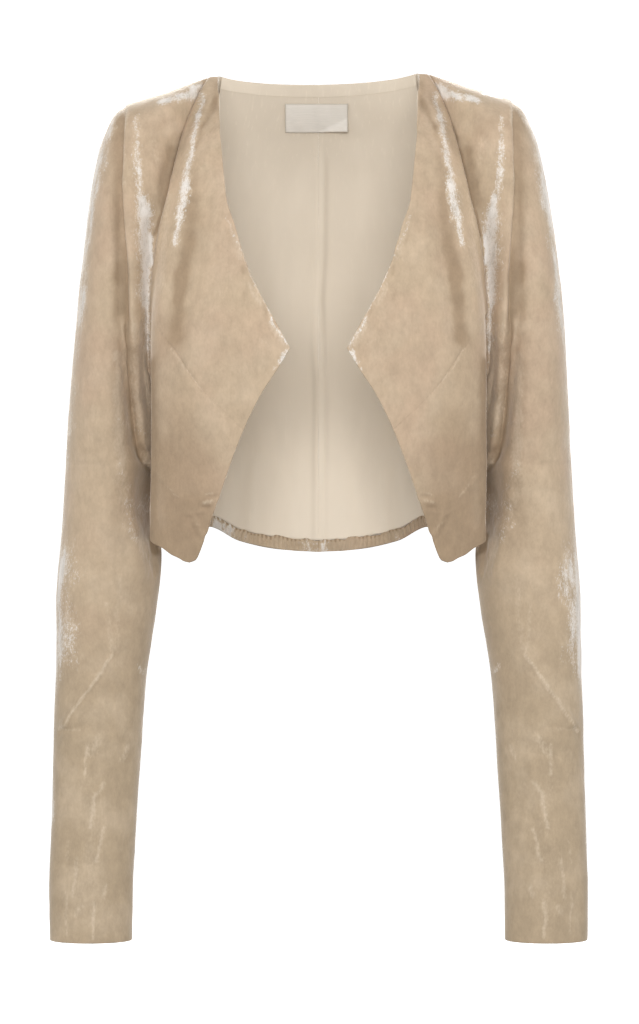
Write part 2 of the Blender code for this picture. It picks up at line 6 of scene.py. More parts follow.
from collections import namedtuple

import bpy
import numpy as np
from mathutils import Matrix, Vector


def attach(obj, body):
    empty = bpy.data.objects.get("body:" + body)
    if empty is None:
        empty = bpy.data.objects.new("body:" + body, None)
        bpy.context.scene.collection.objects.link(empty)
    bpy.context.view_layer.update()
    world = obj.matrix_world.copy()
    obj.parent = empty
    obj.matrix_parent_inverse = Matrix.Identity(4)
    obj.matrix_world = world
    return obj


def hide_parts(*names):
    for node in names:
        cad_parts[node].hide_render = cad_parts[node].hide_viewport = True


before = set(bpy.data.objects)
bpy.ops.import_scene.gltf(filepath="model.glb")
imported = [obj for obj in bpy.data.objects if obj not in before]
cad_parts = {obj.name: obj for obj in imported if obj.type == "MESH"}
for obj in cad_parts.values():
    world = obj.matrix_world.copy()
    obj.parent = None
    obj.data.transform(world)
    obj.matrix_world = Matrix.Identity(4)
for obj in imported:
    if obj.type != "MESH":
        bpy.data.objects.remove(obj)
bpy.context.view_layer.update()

MM = 0.001


def rows_of(kind, *values):
    """A table: rows of values under the kind's column names."""
    return [kind(*row) for row in values]


# Rings round the body. Each has its widest points at side_y, from which the front bulges to front_y
# and the back to back_y at the centre lines.
BodyRing = namedtuple("BodyRing", "height half_width side_y front_y back_y")
BODY_RINGS = rows_of(
    BodyRing,
    (-0.430, 0.1440, -0.050, -0.110, 0.089),
    (-0.360, 0.1435, -0.050, -0.114, 0.087),
    (-0.300, 0.1435, -0.050, -0.119, 0.092),
    (-0.235, 0.1435, -0.050, -0.121, 0.098),
    (-0.170, 0.1410, -0.043, -0.112, 0.098),
    (-0.110, 0.1360, -0.030, -0.097, 0.090),
    (-0.050, 0.1220, -0.010, -0.066, 0.074),
    (-0.015, 0.1100, 0.006, -0.030, 0.062),
    (0.010, 0.1000, 0.016, 0.004, 0.056),
)
FRONT_ROUNDNESS = 2.3
BACK_ROUNDNESS = 2.2
GIRTH_HEIGHT = -0.235

# Free edge of each front, from the neck point down to the front point, then cut away to the hem's tip.
FrontEdge = namedtuple("FrontEdge", "height x")
POINT_HEIGHT = -0.2400
BUST_SEAM_HEIGHT = -0.3087
TIP_HEIGHT = -0.4210
FRONT_EDGE = rows_of(
    FrontEdge,
    (TIP_HEIGHT, -0.1098),
    (-0.4190, -0.1046),
    (-0.4128, -0.1012),
    (-0.4056, -0.0985),
    (-0.3910, -0.0933),
    (-0.3677, -0.0851),
    (-0.3386, -0.0748),
    (BUST_SEAM_HEIGHT, -0.0632),
    (-0.2804, -0.0494),
    (-0.2602, -0.0363),
    (POINT_HEIGHT, -0.0236),
)
NECKLINE = rows_of(
    FrontEdge,
    (POINT_HEIGHT, -0.0236),
    (-0.2252, -0.0317),
    (-0.2086, -0.0410),
    (-0.1841, -0.0538),
    (-0.1640, -0.0623),
    (-0.1341, -0.0710),
    (-0.1112, -0.0784),
    (-0.0701, -0.0825),
    (-0.0344, -0.0862),
    (0.0025, -0.0880),
)

# How far the bust seam lies above a straight line, by share of its run from front edge to raglan seam.
SeamRise = namedtuple("SeamRise", "share rise")
BUST_SEAM = rows_of(
    SeamRise,
    (0.0, 0.0),
    (0.3, -0.0010),
    (0.6, 0.0070),
    (0.8, 0.0050),
    (1.0, 0.0),
)

# Raglan seams: the ring angle of the seam at each height, 0 at the front centre and 180 at the back.
Raglan = namedtuple("Raglan", "height angle")
SIDE_ANGLE = 118.0
BACK_ANGLE = 180.0
UNDERARM_HEIGHT = -0.334
RAGLAN_FRONT = rows_of(
    Raglan,
    (UNDERARM_HEIGHT, SIDE_ANGLE),
    (-0.300, 108.5),
    (-0.262, 98.5),
    (-0.231, 92.5),
    (-0.197, 88.0),
    (-0.163, 82.0),
    (-0.128, 75.5),
    (-0.103, 70.5),
    (-0.080, 69.8),
    (-0.049, 70.5),
    (-0.016, 71.0),
    (0.0020, 68.0),
)
RAGLAN_BACK = rows_of(
    Raglan,
    (UNDERARM_HEIGHT, SIDE_ANGLE),
    (-0.290, 119.0),
    (-0.235, 121.0),
    (-0.170, 124.0),
    (-0.110, 127.0),
    (-0.050, 128.5),
    (-0.018, 125.5),
    (0.0072, 121.5),
)

# Hem line by ring angle, highest at the side seam and lowest at the fronts' tips.
Hem = namedtuple("Hem", "angle height")
HEM = rows_of(
    Hem,
    (47.0, TIP_HEIGHT),
    (49.9, -0.4200),
    (53.5, -0.4172),
    (58.2, -0.4146),
    (66.7, -0.4085),
    (85.5, -0.4029),
    (100.0, -0.3980),
    (SIDE_ANGLE, -0.3920),
    (138.9, -0.3910),
    (153.1, -0.4040),
    (168.0, -0.4115),
    (BACK_ANGLE, -0.4135),
)
BACK_NECK_DIP = 0.0066

# Line over the shoulder and down the outside of the sleeve.
OverArm = namedtuple("OverArm", "x y height")
OVER_ARM = rows_of(
    OverArm,
    (-0.0975, 0.012, 0.0022),
    (-0.1167, 0.008, -0.0052),
    (-0.1314, 0.006, -0.0112),
    (-0.1515, 0.005, -0.0170),
    (-0.1660, 0.003, -0.0225),
    (-0.1765, 0.002, -0.0300),
    (-0.1845, 0.002, -0.0448),
    (-0.1906, 0.002, -0.0622),
    (-0.1976, 0.002, -0.0971),
    (-0.2052, 0.003, -0.1600),
    (-0.2117, 0.005, -0.2191),
    (-0.2170, 0.010, -0.2750),
    (-0.2206, 0.016, UNDERARM_HEIGHT),
)

# Sleeve sections above the underarm, by share of the run from neck to underarm. The section bulges to
# front_y and back_y at the given shares of the way from the seam to the over-arm line.
ShoulderSection = namedtuple("ShoulderSection", "run front_y front_share back_y back_share")
SHOULDER_SECTIONS = rows_of(
    ShoulderSection,
    (0.00, 0.008, 0.50, 0.040, 0.50),
    (0.10, -0.038, 0.46, 0.052, 0.48),
    (0.25, -0.060, 0.46, 0.064, 0.48),
    (0.50, -0.067, 0.50, 0.078, 0.50),
    (0.75, -0.062, 0.52, 0.080, 0.52),
    (1.00, -0.048, 0.52, 0.074, 0.52),
)

# Sleeve sections below the underarm. Near the underarm the section is pinched to a cusp at its seam.
ArmSection = namedtuple("ArmSection", "height outer_x inner_x front_y mid_y back_y pinch")
CUFF_HEIGHT = -0.749
ARM_SECTIONS = rows_of(
    ArmSection,
    (CUFF_HEIGHT, -0.2325, -0.1620, -0.052, -0.019, 0.014, 0.0),
    (-0.706, -0.2330, -0.1618, -0.050, -0.016, 0.018, 0.0),
    (-0.655, -0.2318, -0.1596, -0.047, -0.010, 0.026, 0.0),
    (-0.586, -0.2305, -0.1556, -0.042, 0.000, 0.040, 0.0),
    (-0.523, -0.2292, -0.1512, -0.039, 0.007, 0.051, 0.0),
    (-0.458, -0.2287, -0.1415, -0.039, 0.012, 0.060, 0.1),
    (-0.415, -0.2260, -0.1372, -0.040, 0.016, 0.065, 0.4),
    (-0.385, -0.2238, -0.1395, -0.042, 0.018, 0.068, 0.7),
    (-0.358, -0.2222, -0.1360, -0.045, 0.018, 0.071, 0.9),
    (UNDERARM_HEIGHT, -0.2206, -0.1280, -0.048, 0.018, 0.074, 1.0),
)
CUSP_SLOPE = 0.6
ARM_BULGE_SHARE = 0.5

# Large folds, each a soft trough (negative depth) or ridge along a line as seen from the front or back.
Fold = namedtuple("Fold", "x0 height0 x1 height1 half_width depth")
FRONT_FOLDS = rows_of(
    Fold,
    (-0.100, -0.050, -0.1180, -0.150, 0.012, 0.0035),
    (-0.1180, -0.150, -0.1310, -0.215, 0.012, 0.0040),
    (-0.0990, -0.095, -0.1100, -0.165, 0.010, -0.0045),
    (-0.1100, -0.165, -0.1160, -0.230, 0.010, -0.0055),
    (-0.0880, -0.035, -0.0990, -0.070, 0.006, -0.0020),
)
BACK_FOLDS = rows_of(
    Fold,
    (-0.0300, -0.300, -0.0420, -0.405, 0.016, 0.0040),
    (-0.0700, -0.310, -0.0800, -0.395, 0.013, -0.0035),
)
SLEEVE_FRONT_FOLDS = rows_of(
    Fold,
    (-0.1240, -0.055, -0.1400, -0.125, 0.0090, -0.0020),
    (-0.1400, -0.125, -0.1490, -0.215, 0.0090, -0.0035),
    (-0.1490, -0.215, -0.1490, -0.290, 0.0080, -0.0045),
    (-0.1715, -0.040, -0.1710, -0.110, 0.0065, -0.0030),
    (-0.1710, -0.110, -0.1685, -0.215, 0.0065, -0.0045),
    (-0.1685, -0.215, -0.1565, -0.326, 0.0065, -0.0045),
    (-0.1600, -0.085, -0.1590, -0.235, 0.0080, 0.0030),
    (-0.2200, -0.566, -0.1780, -0.505, 0.0060, 0.0018),
)
SLEEVE_BACK_FOLDS = rows_of(
    Fold,
    (-0.1300, -0.110, -0.1420, -0.215, 0.009, -0.0090),
    (-0.1750, -0.085, -0.1650, -0.300, 0.008, -0.0060),
    (-0.2200, -0.545, -0.1750, -0.520, 0.007, -0.0025),
    (-0.2150, -0.500, -0.1700, -0.490, 0.007, -0.0020),
)

# How the two sides differ: the left shoulder sits a little higher, and the left sleeve is a little fuller.
SHOULDER_TILT = 0.0150
TILT_HEIGHT = -0.100
LEFT_FULLNESS = 0.0035
LEFT_FULLNESS_HEIGHT = -0.165
LEFT_FULLNESS_REACH = 0.080
LEFT_FULLNESS_FROM = 0.14
LEFT_FULLNESS_OVER = 0.06

# Finer creases, as soft troughs (negative depth) or ridges along lines seen from the front or back, in mm.
Crease = namedtuple("Crease", "x0 height0 x1 height1 half_width depth")
FRONT_CREASES = rows_of(
    Crease,
    (-84, -36, -95, -72, 3.0, 0.8),
    (-87, -17, -99, -45, 3.0, -1.6),
    (-99, -45, -106, -68, 3.0, -1.4),
    (-70, -142, -82, -147, 2.5, 0.7),
    (-66, -152, -79, -158, 2.5, -0.7),
    (-62, -164, -74, -171, 2.6, 0.7),
    (-57, -176, -69, -184, 2.6, -0.6),
    (-52, -187, -62, -196, 2.6, 0.6),
    (-139, -342, -117, -366, 2.0, 0.4),
    (-101, -375, -92, -373, 1.5, -1.2),
    (-99, -371, -89, -368, 1.7, 1.0),
    (-94, -366.5, -86, -364.5, 1.5, -1.0),
    (-104, -379, -96, -378, 1.7, 0.8),
    (-109, -378, -98, -400, 3.0, 1.2),
    (-113, -381, -104, -402, 3.2, -1.0),
    (-101, -384, -95, -398, 2.2, -0.8),
    (-118, -222, -124, -262, 5.0, -1.0),
    (-72, -205, -88, -262, 6.0, -0.7),
    (-103, -140, -109, -225, 5.0, 1.2),
)
SLEEVE_FRONT_CREASES = rows_of(
    Crease,
    (-131, -32, -134, -52, 3.0, -1.0),
    (-129, -56, -136, -100, 3.5, -1.2),
    (-140, -30, -144, -92, 5.0, 1.0),
    (-154.5, -200, -153, -273, 5.0, 2.4),
    (-153, -273, -149.5, -320, 5.0, 2.2),
    (-167, -362, -163, -430, 7.0, 2.2),
    (-126, -45, -137, -115, 7.5, 2.5),
    (-168.5, -215, -156.5, -326, 6.5, 4.7),
    (-165, -335, -160, -402, 9.0, 2.2),
    (-147.5, -255, -145.5, -338, 5.0, 5.0),
    (-146.5, -390, -144.5, -434, 3.0, -3.0),
    (-160, -385, -156, -440, 7.0, 2.5),
    (-148.5, -225, -146.5, -273, 3.0, -1.6),
    (-150, -345, -147, -390, 6.0, -1.2),
    (-183, -420, -186, -520, 9.0, -0.9),
    (-206, -395, -210, -500, 8.0, 0.9),
    (-226, -569, -178, -500, 1.8, 1.1),
    (-226, -575, -182, -511, 2.8, -0.9),
    (-225, -568, -194, -561, 2.5, -0.9),
    (-215, -577, -170, -570, 4.0, 0.9),
    (-208, -590, -176, -583, 3.5, -0.8),
    (-192, -616, -197, -668, 3.0, 0.8),
    (-184, -640, -193, -690, 3.5, -0.7),
    (-178, -600, -170, -640, 4.0, -0.8),
    (-218, -620, -214, -690, 5.0, -0.7),
    (-205, -690, -203, -735, 4.0, 0.6),
)
BACK_CREASES = rows_of(
    Crease,
    (-110, -60, -118, -150, 7.0, 1.4),
    (-96, -120, -106, -215, 8.0, -1.6),
    (-122, -270, -84, -330, 5.0, -1.2),
    (-118, -300, -80, -352, 5.0, 1.0),
    (-55, -40, -62, -140, 10.0, -0.8),
    (-20, -290, -26, -400, 7.0, -1.1),
    (-58, -330, -64, -402, 7.0, 1.2),
    (-98, -345, -104, -392, 5.0, -1.0),
)
SLEEVE_BACK_CREASES = rows_of(
    Crease,
    (-150, -60, -158, -170, 7.0, 1.8),
    (-168, -150, -160, -280, 5.0, -1.6),
    (-190, -330, -168, -375, 6.0, -1.3),
    (-192, -350, -172, -400, 5.0, 1.0),
    (-224, -480, -176, -506, 4.0, 1.1),
    (-222, -536, -172, -534, 4.0, 1.0),
    (-218, -560, -178, -548, 4.0, -1.2),
    (-205, -600, -199, -690, 5.0, -0.8),
    (-182, -610, -186, -680, 4.0, 0.7),
)

# The shoulder's long crease, where the cloth over the chest rolls past the cloth of the arm, in mm. Its shade
# column is painted shade in the fold beside the crease.
ShoulderCrease = namedtuple("ShoulderCrease", "height x rise edge recess shade")
SHOULDER_CREASE = rows_of(
    ShoulderCrease,
    (-18, -167.0, 0.8, 0.6, 1.0, 0.00),
    (-33, -166.2, 1.7, 0.6, 1.0, 0.00),
    (-46, -164.6, 2.4, 0.6, 1.0, 0.00),
    (-68, -165.0, 2.9, 0.6, 1.0, 0.00),
    (-100, -165.8, 3.1, 0.7, 1.0, 0.00),
    (-143, -164.0, 3.3, 1.1, 1.0, 0.15),
    (-175, -162.0, 3.5, 1.8, 1.1, 0.75),
    (-208, -161.5, 3.6, 2.0, 1.3, 0.80),
    (-230, -161.0, 3.7, 1.9, 1.4, 0.72),
    (-256, -159.4, 3.8, 1.7, 1.4, 0.75),
    (-290, -157.4, 3.8, 1.5, 1.4, 0.80),
    (-307, -155.7, 3.8, 1.4, 1.4, 0.85),
    (-318, -154.0, 3.7, 1.4, 1.4, 0.90),
    (-330, -151.0, 3.4, 1.4, 1.3, 0.90),
    (-339, -146.5, 2.6, 1.4, 1.1, 0.60),
    (-345, -142.0, 1.2, 1.4, 1.0, 0.20),
    (-348, -139.0, 0.0, 1.4, 1.0, 0.00),
)
CREASE_ROLL = 0.0095
CREASE_RECESS = 0.0058
CREASE_SHADE_OFF = 0.0024
CREASE_SHADE_REACH = 0.0034
CREASE_OVERHANG = 0.30
CREASE_DRAW = 1.3
CREASE_OVER_TOP = 0.4

# How deep the bust seam's groove shows, by share of the way from the front edge to the raglan seam
Groove = namedtuple("Groove", "share depth")
BUST_GROOVE = rows_of(
    Groove,
    (0.00, 0.30),
    (0.24, 0.12),
    (0.34, 0.75),
    (0.60, 0.75),
    (0.72, 0.15),
    (1.00, 0.05),
)

# How far the front panel rolls over its raglan seam, by height in mm
Lip = namedtuple("Lip", "height strength")
RAGLAN_LIP = rows_of(
    Lip,
    (5, 0.2),
    (-15, 0.8),
    (-40, 1.0),
    (-200, 1.0),
    (-245, 0.6),
    (-290, 0.0),
)
LIP_HEIGHT = 0.0020
LIP_LEAN = 0.0006
LIP_OFF = 0.0040
LIP_REACH = 0.0045

# Painted light along lines on a panel, in mm: painted sheen where the pile is brushed flat (strength above
# 0), and painted shade in folds, recesses, beside edges and toward the hem (below 0).
Stroke = namedtuple("Stroke", "x0 height0 x1 height1 half_width strength")
FRONT_STROKES = rows_of(
    Stroke,
    (-100, -14, -104, -38, 2.8, 0.60),
    (-104, -34, -109, -67, 3.0, 0.70),
    (-109, -67, -114, -101, 3.6, 0.72),
    (-114, -98, -118, -130, 4.4, 0.82),
    (-118, -130, -123, -152, 2.8, 0.68),
    (-41, -216, -25, -239, 2.0, 0.62),
    (-26, -241, -34, -253, 2.4, 0.72),
    (-37.6, -256.5, -36.6, -258, 1.6, 0.9),
    (-62.8, -169, -62.2, -179, 2.4, -0.45),
    (-45.4, -206, -44.8, -214, 2.0, -0.40),
    (-74.8, -137, -73.8, -152, 2.6, -0.32),
    (-64.8, -192, -63.0, -201, 2.0, -0.30),
    (-79, -126, -58, -173, 1.3, 0.35),
    (-58, -173, -39, -217, 1.3, 0.5),
    (-101, -71, -108, -100, 5.5, -0.40),
    (-108, -100, -109.5, -140, 8.5, -0.72),
    (-109.5, -140, -117, -187, 7.5, -0.95),
    (-117, -187, -121.5, -236, 7.0, -0.72),
    (-116, -170, -119, -202, 5.0, -0.40),
    (-130, -212, -118, -320, 27.0, -0.38),
    (-142, -245, -141.5, -440, 5.0, -0.80),
    (-143, -394, -141, -438, 5.0, -1.0),
    (-134, -317, -122, -402, 10.0, -0.3),
    (-118, -310, -100, -400, 36.0, -0.70),
    (-104, -372, -118, -456, 16.0, -1.1),
    (-136, -392, -118, -436, 11.0, -0.55),
    (-96, -120, -100, -165, 9.0, -0.25),
    (-89, -2, -88, -35, 4.0, -0.50),
    (-90, -20, -99, -48, 3.2, -0.60),
    (-99, -45, -106, -68, 2.8, -0.50),
    (-101, -375, -92, -373, 1.6, -0.5),
    (-113, -381, -104, -402, 3.0, -0.3),
)
SLEEVE_FRONT_STROKES = rows_of(
    Stroke,
    (-156, -38, -155, -62, 2.2, 0.50),
    (-155.5, -62, -154.5, -88, 3.6, 0.56),
    (-154.5, -86, -152, -112, 3.6, 0.56),
    (-152, -108, -149, -123, 4.4, 0.85),
    (-149.5, -118, -149, -150, 7.0, 0.95),
    (-149, -149, -149, -196, 6.4, 0.95),
    (-148.5, -196, -147.5, -239, 3.8, 0.75),
    (-147, -235, -146, -249, 1.7, 0.5),
    (-144, -140, -143, -166, 1.8, 0.9),
    (-160, -20, -140, -15, 2.4, 0.9),
    (-139, -24, -126, -21, 3.4, 1.1),
    (-124, -21, -104, -14, 3.8, 0.9),
    (-112, -13, -99, -6, 3.2, 0.8),
    (-157, -372, -146, -377, 5.0, 0.44),
    (-168, -368, -159, -372, 4.0, 0.40),
    (-166, -372, -158, -402, 3.0, 0.22),
    (-172, -299, -162, -303, 2.6, 0.34),
    (-155, -305, -150, -312, 2.8, 0.26),
    (-171, -334, -168, -348, 3.2, 0.26),
    (-166, -352, -160, -362, 3.0, 0.18),
    (-150, -362, -147, -372, 2.4, 0.40),
    (-160, -384, -152, -379, 3.0, 0.26),
    (-170, -386, -162, -393, 3.4, 0.26),
    (-162, -398, -155, -403, 3.0, 0.26),
    (-156, -510, -152, -518, 2.2, 0.5),
    (-171, -28, -172, -110, 8.0, -0.70),
    (-172, -110, -170, -180, 7.0, -0.60),
    (-150, -320, -147, -334, 5.0, -0.35),
    (-150, -35, -138, -60, 14.0, -0.42),
    (-107, -21, -118, -54, 1.8, -0.70),
    (-118, -54, -127, -87, 1.8, -0.80),
    (-127, -87, -133, -115, 2.2, -0.80),
    (-133.5, -115, -139.5, -141, 2.2, -1.1),
    (-141, -141, -145, -198, 1.6, -0.50),
    (-127, -62, -137.5, -116, 5.0, -0.75),
    (-150, -340, -149, -368, 6.5, -0.42),
    (-171, -165, -169.5, -212, 5.5, -0.60),
    (-146, -396, -143.5, -414, 3.2, -1.4),
    (-139, -412, -137.5, -424, 2.2, -1.0),
)

# Soft pale marks in the same way: ruffled pile, and painted light that lifts flanks and corners which fall
# into shade
FRONT_MARKS = rows_of(
    Stroke,
    (-99, -371, -89, -368, 1.5, 0.6),
    (-96, -364, -89, -362, 1.4, 0.5),
    (-128, -355, -117, -366, 1.3, 0.4),
    (-125, -238, -98, -277, 1.2, 0.5),
    (-139, -342, -128, -355, 1.4, 0.3),
    (-106, -384, -97, -398, 2.0, 0.3),
    (-109, -67, -113, -95, 7.0, 0.3),
    (-130, -100, -134, -190, 6.0, 0.45),
    (-70.5, -143, -65.0, -166, 3.2, 0.55),
    (-58.5, -184, -48.0, -204, 3.0, 0.60),
    (-42.5, -216, -29.5, -238, 3.4, 0.70),
    (-52.0, -232, -40.0, -238, 2.2, 0.40),
)
SLEEVE_FRONT_MARKS = rows_of(
    Stroke,
    (-164.0, -28, -164.6, -58, 1.8, 0.9),
    (-164.6, -58, -164.0, -100, 2.0, 0.5),
    (-225, -568, -178, -501, 1.4, 0.90),
    (-225, -566, -203, -566, 1.6, 0.45),
    (-202, -600, -190, -660, 14.0, 0.24),
    (-196, -660, -200, -740, 16.0, 0.24),
    (-198, -588, -187, -570, 4.6, 0.55),
    (-200, -577, -201, -606, 1.7, 0.55),
    (-171, -594, -165, -578, 3.2, 0.55),
    (-184, -610, -193, -622, 2.0, 0.55),
    (-193, -622, -197, -651, 1.8, 0.55),
    (-183, -648, -192, -680, 1.8, 0.48),
    (-208, -676, -212, -711, 2.0, 0.50),
    (-183, -698, -185, -710, 2.2, 0.50),
    (-194, -712, -194, -745, 1.6, 0.55),
    (-217.5, -704, -217.5, -744, 1.6, 0.45),
    (-216, -660, -217, -680, 1.8, 0.35),
    (-210, -725, -204, -715, 2.4, 0.30),
    (-172.0, -240, -170.0, -340, 5.0, 0.85),
    (-171, -340, -163, -388, 8.0, 0.50),
    (-156.5, -215, -154, -305, 4.5, 0.75),
    (-149, -235, -146.5, -340, 3.8, 0.95),
    (-156, -384, -152, -418, 4.0, 0.60),
    (-141, -56, -139, -84, 6.0, 0.35),
    (-171, -430, -176, -500, 4.0, 0.35),
    (-183, -455, -180, -500, 2.2, 0.4),
)
BACK_STROKES = rows_of(
    Stroke,
    (-98, -120, -106, -215, 7.0, -0.3),
    (-76, -310, -82, -390, 7.0, -0.3),
)
SLEEVE_BACK_STROKES = rows_of(
    Stroke,
    (-143, -18, -110, -10, 5.0, 0.5),
    (-170, -160, -163, -280, 6.0, -0.4),
)
BACK_MARKS = rows_of(
    Stroke,
    (-112, -60, -119, -150, 7.0, 0.60),
    (-119, -150, -124, -210, 7.0, 0.65),
    (-60, -335, -65, -400, 6.0, 0.45),
    (-28, -310, -36, -395, 6.0, 0.40),
)
SLEEVE_BACK_MARKS = rows_of(
    Stroke,
    (-152, -60, -158, -160, 8.0, 0.65),
    (-140, -130, -146, -210, 7.0, 0.45),
    (-200, -560, -184, -552, 5.0, 0.60),
    (-204, -620, -200, -680, 5.0, 0.45),
    (-184, -640, -187, -672, 5.0, 0.45),
)

# Painted sheen, silver down the outside of the arm, by height in mm: how strong, and where by the way the
# cloth faces
Sheen = namedtuple("Sheen", "height strength facing reach")
ARM_SHEEN = rows_of(
    Sheen,
    (-26, 0.00, -0.20, 0.22),
    (-40, 1.15, -0.22, 0.24),
    (-58, 0.75, -0.20, 0.20),
    (-76, 1.25, -0.20, 0.22),
    (-92, 0.85, -0.20, 0.20),
    (-115, 1.30, -0.20, 0.22),
    (-136, 0.90, -0.20, 0.20),
    (-160, 1.20, -0.18, 0.21),
    (-182, 0.80, -0.18, 0.19),
    (-215, 0.95, -0.18, 0.19),
    (-250, 0.60, -0.15, 0.17),
    (-310, 0.50, -0.15, 0.16),
    (-385, 0.35, -0.15, 0.16),
    (-404, 0.55, -0.24, 0.24),
    (-422, 1.16, -0.31, 0.34),
    (-490, 1.16, -0.31, 0.34),
    (-508, 1.00, -0.28, 0.30),
    (-526, 0.65, -0.24, 0.24),
    (-545, 0.12, -0.15, 0.18),
    (-602, 0.10, -0.12, 0.15),
    (-618, 1.10, -0.14, 0.16),
    (-652, 1.00, -0.14, 0.16),
    (-672, 0.12, -0.12, 0.15),
    (-749, 0.05, -0.10, 0.15),
)
SHEEN_CELL = 0.0055
SHEEN_DRAWN_OUT = 0.14
SHEEN_LEAST = 0.78
SHEEN_STREAKS = 0.55
SHEEN_LIMIT = 1.6
SHEEN_WANDER = 0.16
SHEEN_WANDER_CELL = 0.016
SHEEN_SEED = 61
SHEEN_WANDER_SEED = 62

# Cloth thicknesses. The outside stands ROLL proud of the surface away from the seams.
ROLL = 0.0006
VELVET_INSIDE = -0.0016
LINING_OUTSIDE = -0.0021
LINING_INSIDE = -0.0030
BAND_OUTSIDE = -0.0022
BAND_INSIDE = -0.0038
TRIM_GAP = 0.0003
TRIM_THICKNESS = 0.0008
FACING_GAP = 0.00004
FACING_THICKNESS = 0.00016
HALF_SEAM_GAP = 0.00005
SEAM_SOFTNESS = 0.0016
SUNK_TO = -0.0003
EDGE_STEPS = (0.00012, 0.00040, 0.00080, 0.00125)
EDGE_SHUT = 0.25
UNSET_NORMAL = 1e-12
KEY_SIZE = 1e-5

# Distances over which folds die out at a seam, and how fast they grow as the cloth turns to face the view
SLEEVE_FADE = 0.0040
FRONT_FADE = 0.012
BACK_FADE = 0.020
NO_FADE = 1e-6
RELIEF_FADE = 0.006
FACING_GAIN = 1.6

# Soft unevenness of the cloth: height and cell size of each layer
Relief = namedtuple("Relief", "height cell")
RELIEF = rows_of(Relief, (0.0007, 0.055), (0.00035, 0.020), (0.00012, 0.008))

# How far the listed creases and strokes waver from their lines
WANDER = rows_of(Relief, (0.0016, 0.011), (0.0008, 0.0045))
WANDER_SEED = 41
WANDER_SEED_STEP = 4

# Numbers that scatter a cell's place into noise
HASH_AXES = np.array([73856093, 19349663, 83492791])
HASH_SEED = 265443576
HASH_SPREAD = 1274126177
HASH_SHIFTS = (13, 16)
HASH_MASK = 0xFFFF

# How far strokes show on cloth that turns to the side, the most that they add up to, and the painted shade
# that darkens the sleeves downward from just below the underarm
STROKE_SIDE = 0.6
STROKE_FACING = 1.2
STROKE_LIMIT = 1.2
LOWER_SHADE_FROM = -0.360
LOWER_SHADE_REACH = 0.220

# Painted shade of the inside along the seams, which is weaker near the neck
SEAM_SHADE = 0.009
NECK_SHADE_HEIGHTS = (0.015, 0.060)
NECK_SHADE_SHARES = (0.30, 1.0)

# The back's lining, with a pressed tuck along its centre. By height in mm: the tuck's middle in mm, and how
# dark the painted shadows on its two sides are.
TuckRow = namedtuple("TuckRow", "height middle right left")
TUCK = rows_of(
    TuckRow,
    (-30, 1.4, 0.35, 0.00),
    (-54, 1.4, 0.50, 0.00),
    (-145, 0.8, 0.55, 0.08),
    (-188, -1.6, 0.70, 0.00),
    (-224, -0.4, 0.40, 0.20),
    (-260, 1.8, 0.18, 0.55),
    (-300, 1.8, 0.35, 0.50),
    (-350, 1.4, 0.25, 0.45),
    (-403, 1.0, 0.20, 0.35),
)
TUCK_WIDTH = 0.0095
TUCK_HEIGHT = 0.0006
TUCK_RISE = 0.0030
TUCK_EDGE = 0.0025
TUCK_FADE = 0.040
# Painted highlight along the tuck's pressed fold, and where the painted shadows lie beside it
TUCK_HIGHLIGHT = 0.22
TUCK_HIGHLIGHT_REACH = 0.0040
TUCK_SHADE_OFF = 0.0058
TUCK_SHADE_REACH = 0.0024
EASE_HEIGHT = 0.0012
EASE_CELL = 0.030
EASE_DRAWN_OUT = 0.22
EASE_SEED = 7
# The lining's tone: paler overall, paler still toward +X as painted light, and darker near the neck as
# painted shade
LINING_TONE = 0.74
LINING_PAINTED_LIGHT_RIGHT = 0.10
LINING_PAINTED_LIGHT_REACH = 0.12
LINING_PAINTED_SHADE_TOP = -0.95
LINING_PAINTED_SHADE_TOP_REACH = 0.10

# The hem's turn-up. Its puckers rise and fall by share of the way down it.
PuckerRow = namedtuple("PuckerRow", "share height")
PUCKER_PROFILE = rows_of(PuckerRow, (0.0, 0.15), (0.12, 0.55), (0.45, 1.0), (0.8, 0.7), (1.0, 0.1))
HEM_BAND = 0.0105
HEM_PUCKERS = 38
PUCKER_DEPTH = 0.0011
PUCKER_WANDER = 0.45
PUCKER_WANDER_CELL = 0.030
PUCKER_LEAN = 0.9
PUCKER_LEAN_CELL = 0.018
PUCKER_MEAN = 0.65
PUCKER_VARIES = 0.35
PUCKER_CELL = 0.012
CRINKLE_DEPTH = 0.0007
CRINKLE_CELL = 0.0045
CRINKLE_DRAWN_OUT = 0.6
BAND_WAVER = 0.0022
BAND_WAVER_CELL = 0.0055
# Painted highlight on the puckers' crests
BAND_PALE = 0.45

# Painted sheen in bright spots along the turn-up in mm, and painted shade in dark ticks in the valleys
# between its puckers
Spot = namedtuple("Spot", "x reach most")
BAND_BRIGHT = rows_of(
    Spot,
    (-92, 7, 1.5),
    (-81, 7, 1.0),
    (-68, 3, 0.5),
    (-11, 6, 0.8),
    (4, 6, 0.95),
    (73, 4, 0.6),
)
BRIGHT_LEAST = 0.3
BRIGHT_CLEARS = 0.5
VALLEY_FROM = 1.15
VALLEY_GAIN = 1.6
TICK_DOWN = 0.32
TICK_DARK = 1.7
TICK_CELL = 0.0120
TICK_FROM = 0.62
TICK_GAIN = 1.4
TICK_CLEARS = 2.0

# Seeds of the turn-up's noise on each half, and the steps from them to its other noises
BAND_SEEDS = {"right": 11, "left": 12}
WAVER_SEED = 3
LEAN_SEED = 5
STRENGTH_SEED = 9
CRINKLE_SEED = 20
TICK_SEED = 30

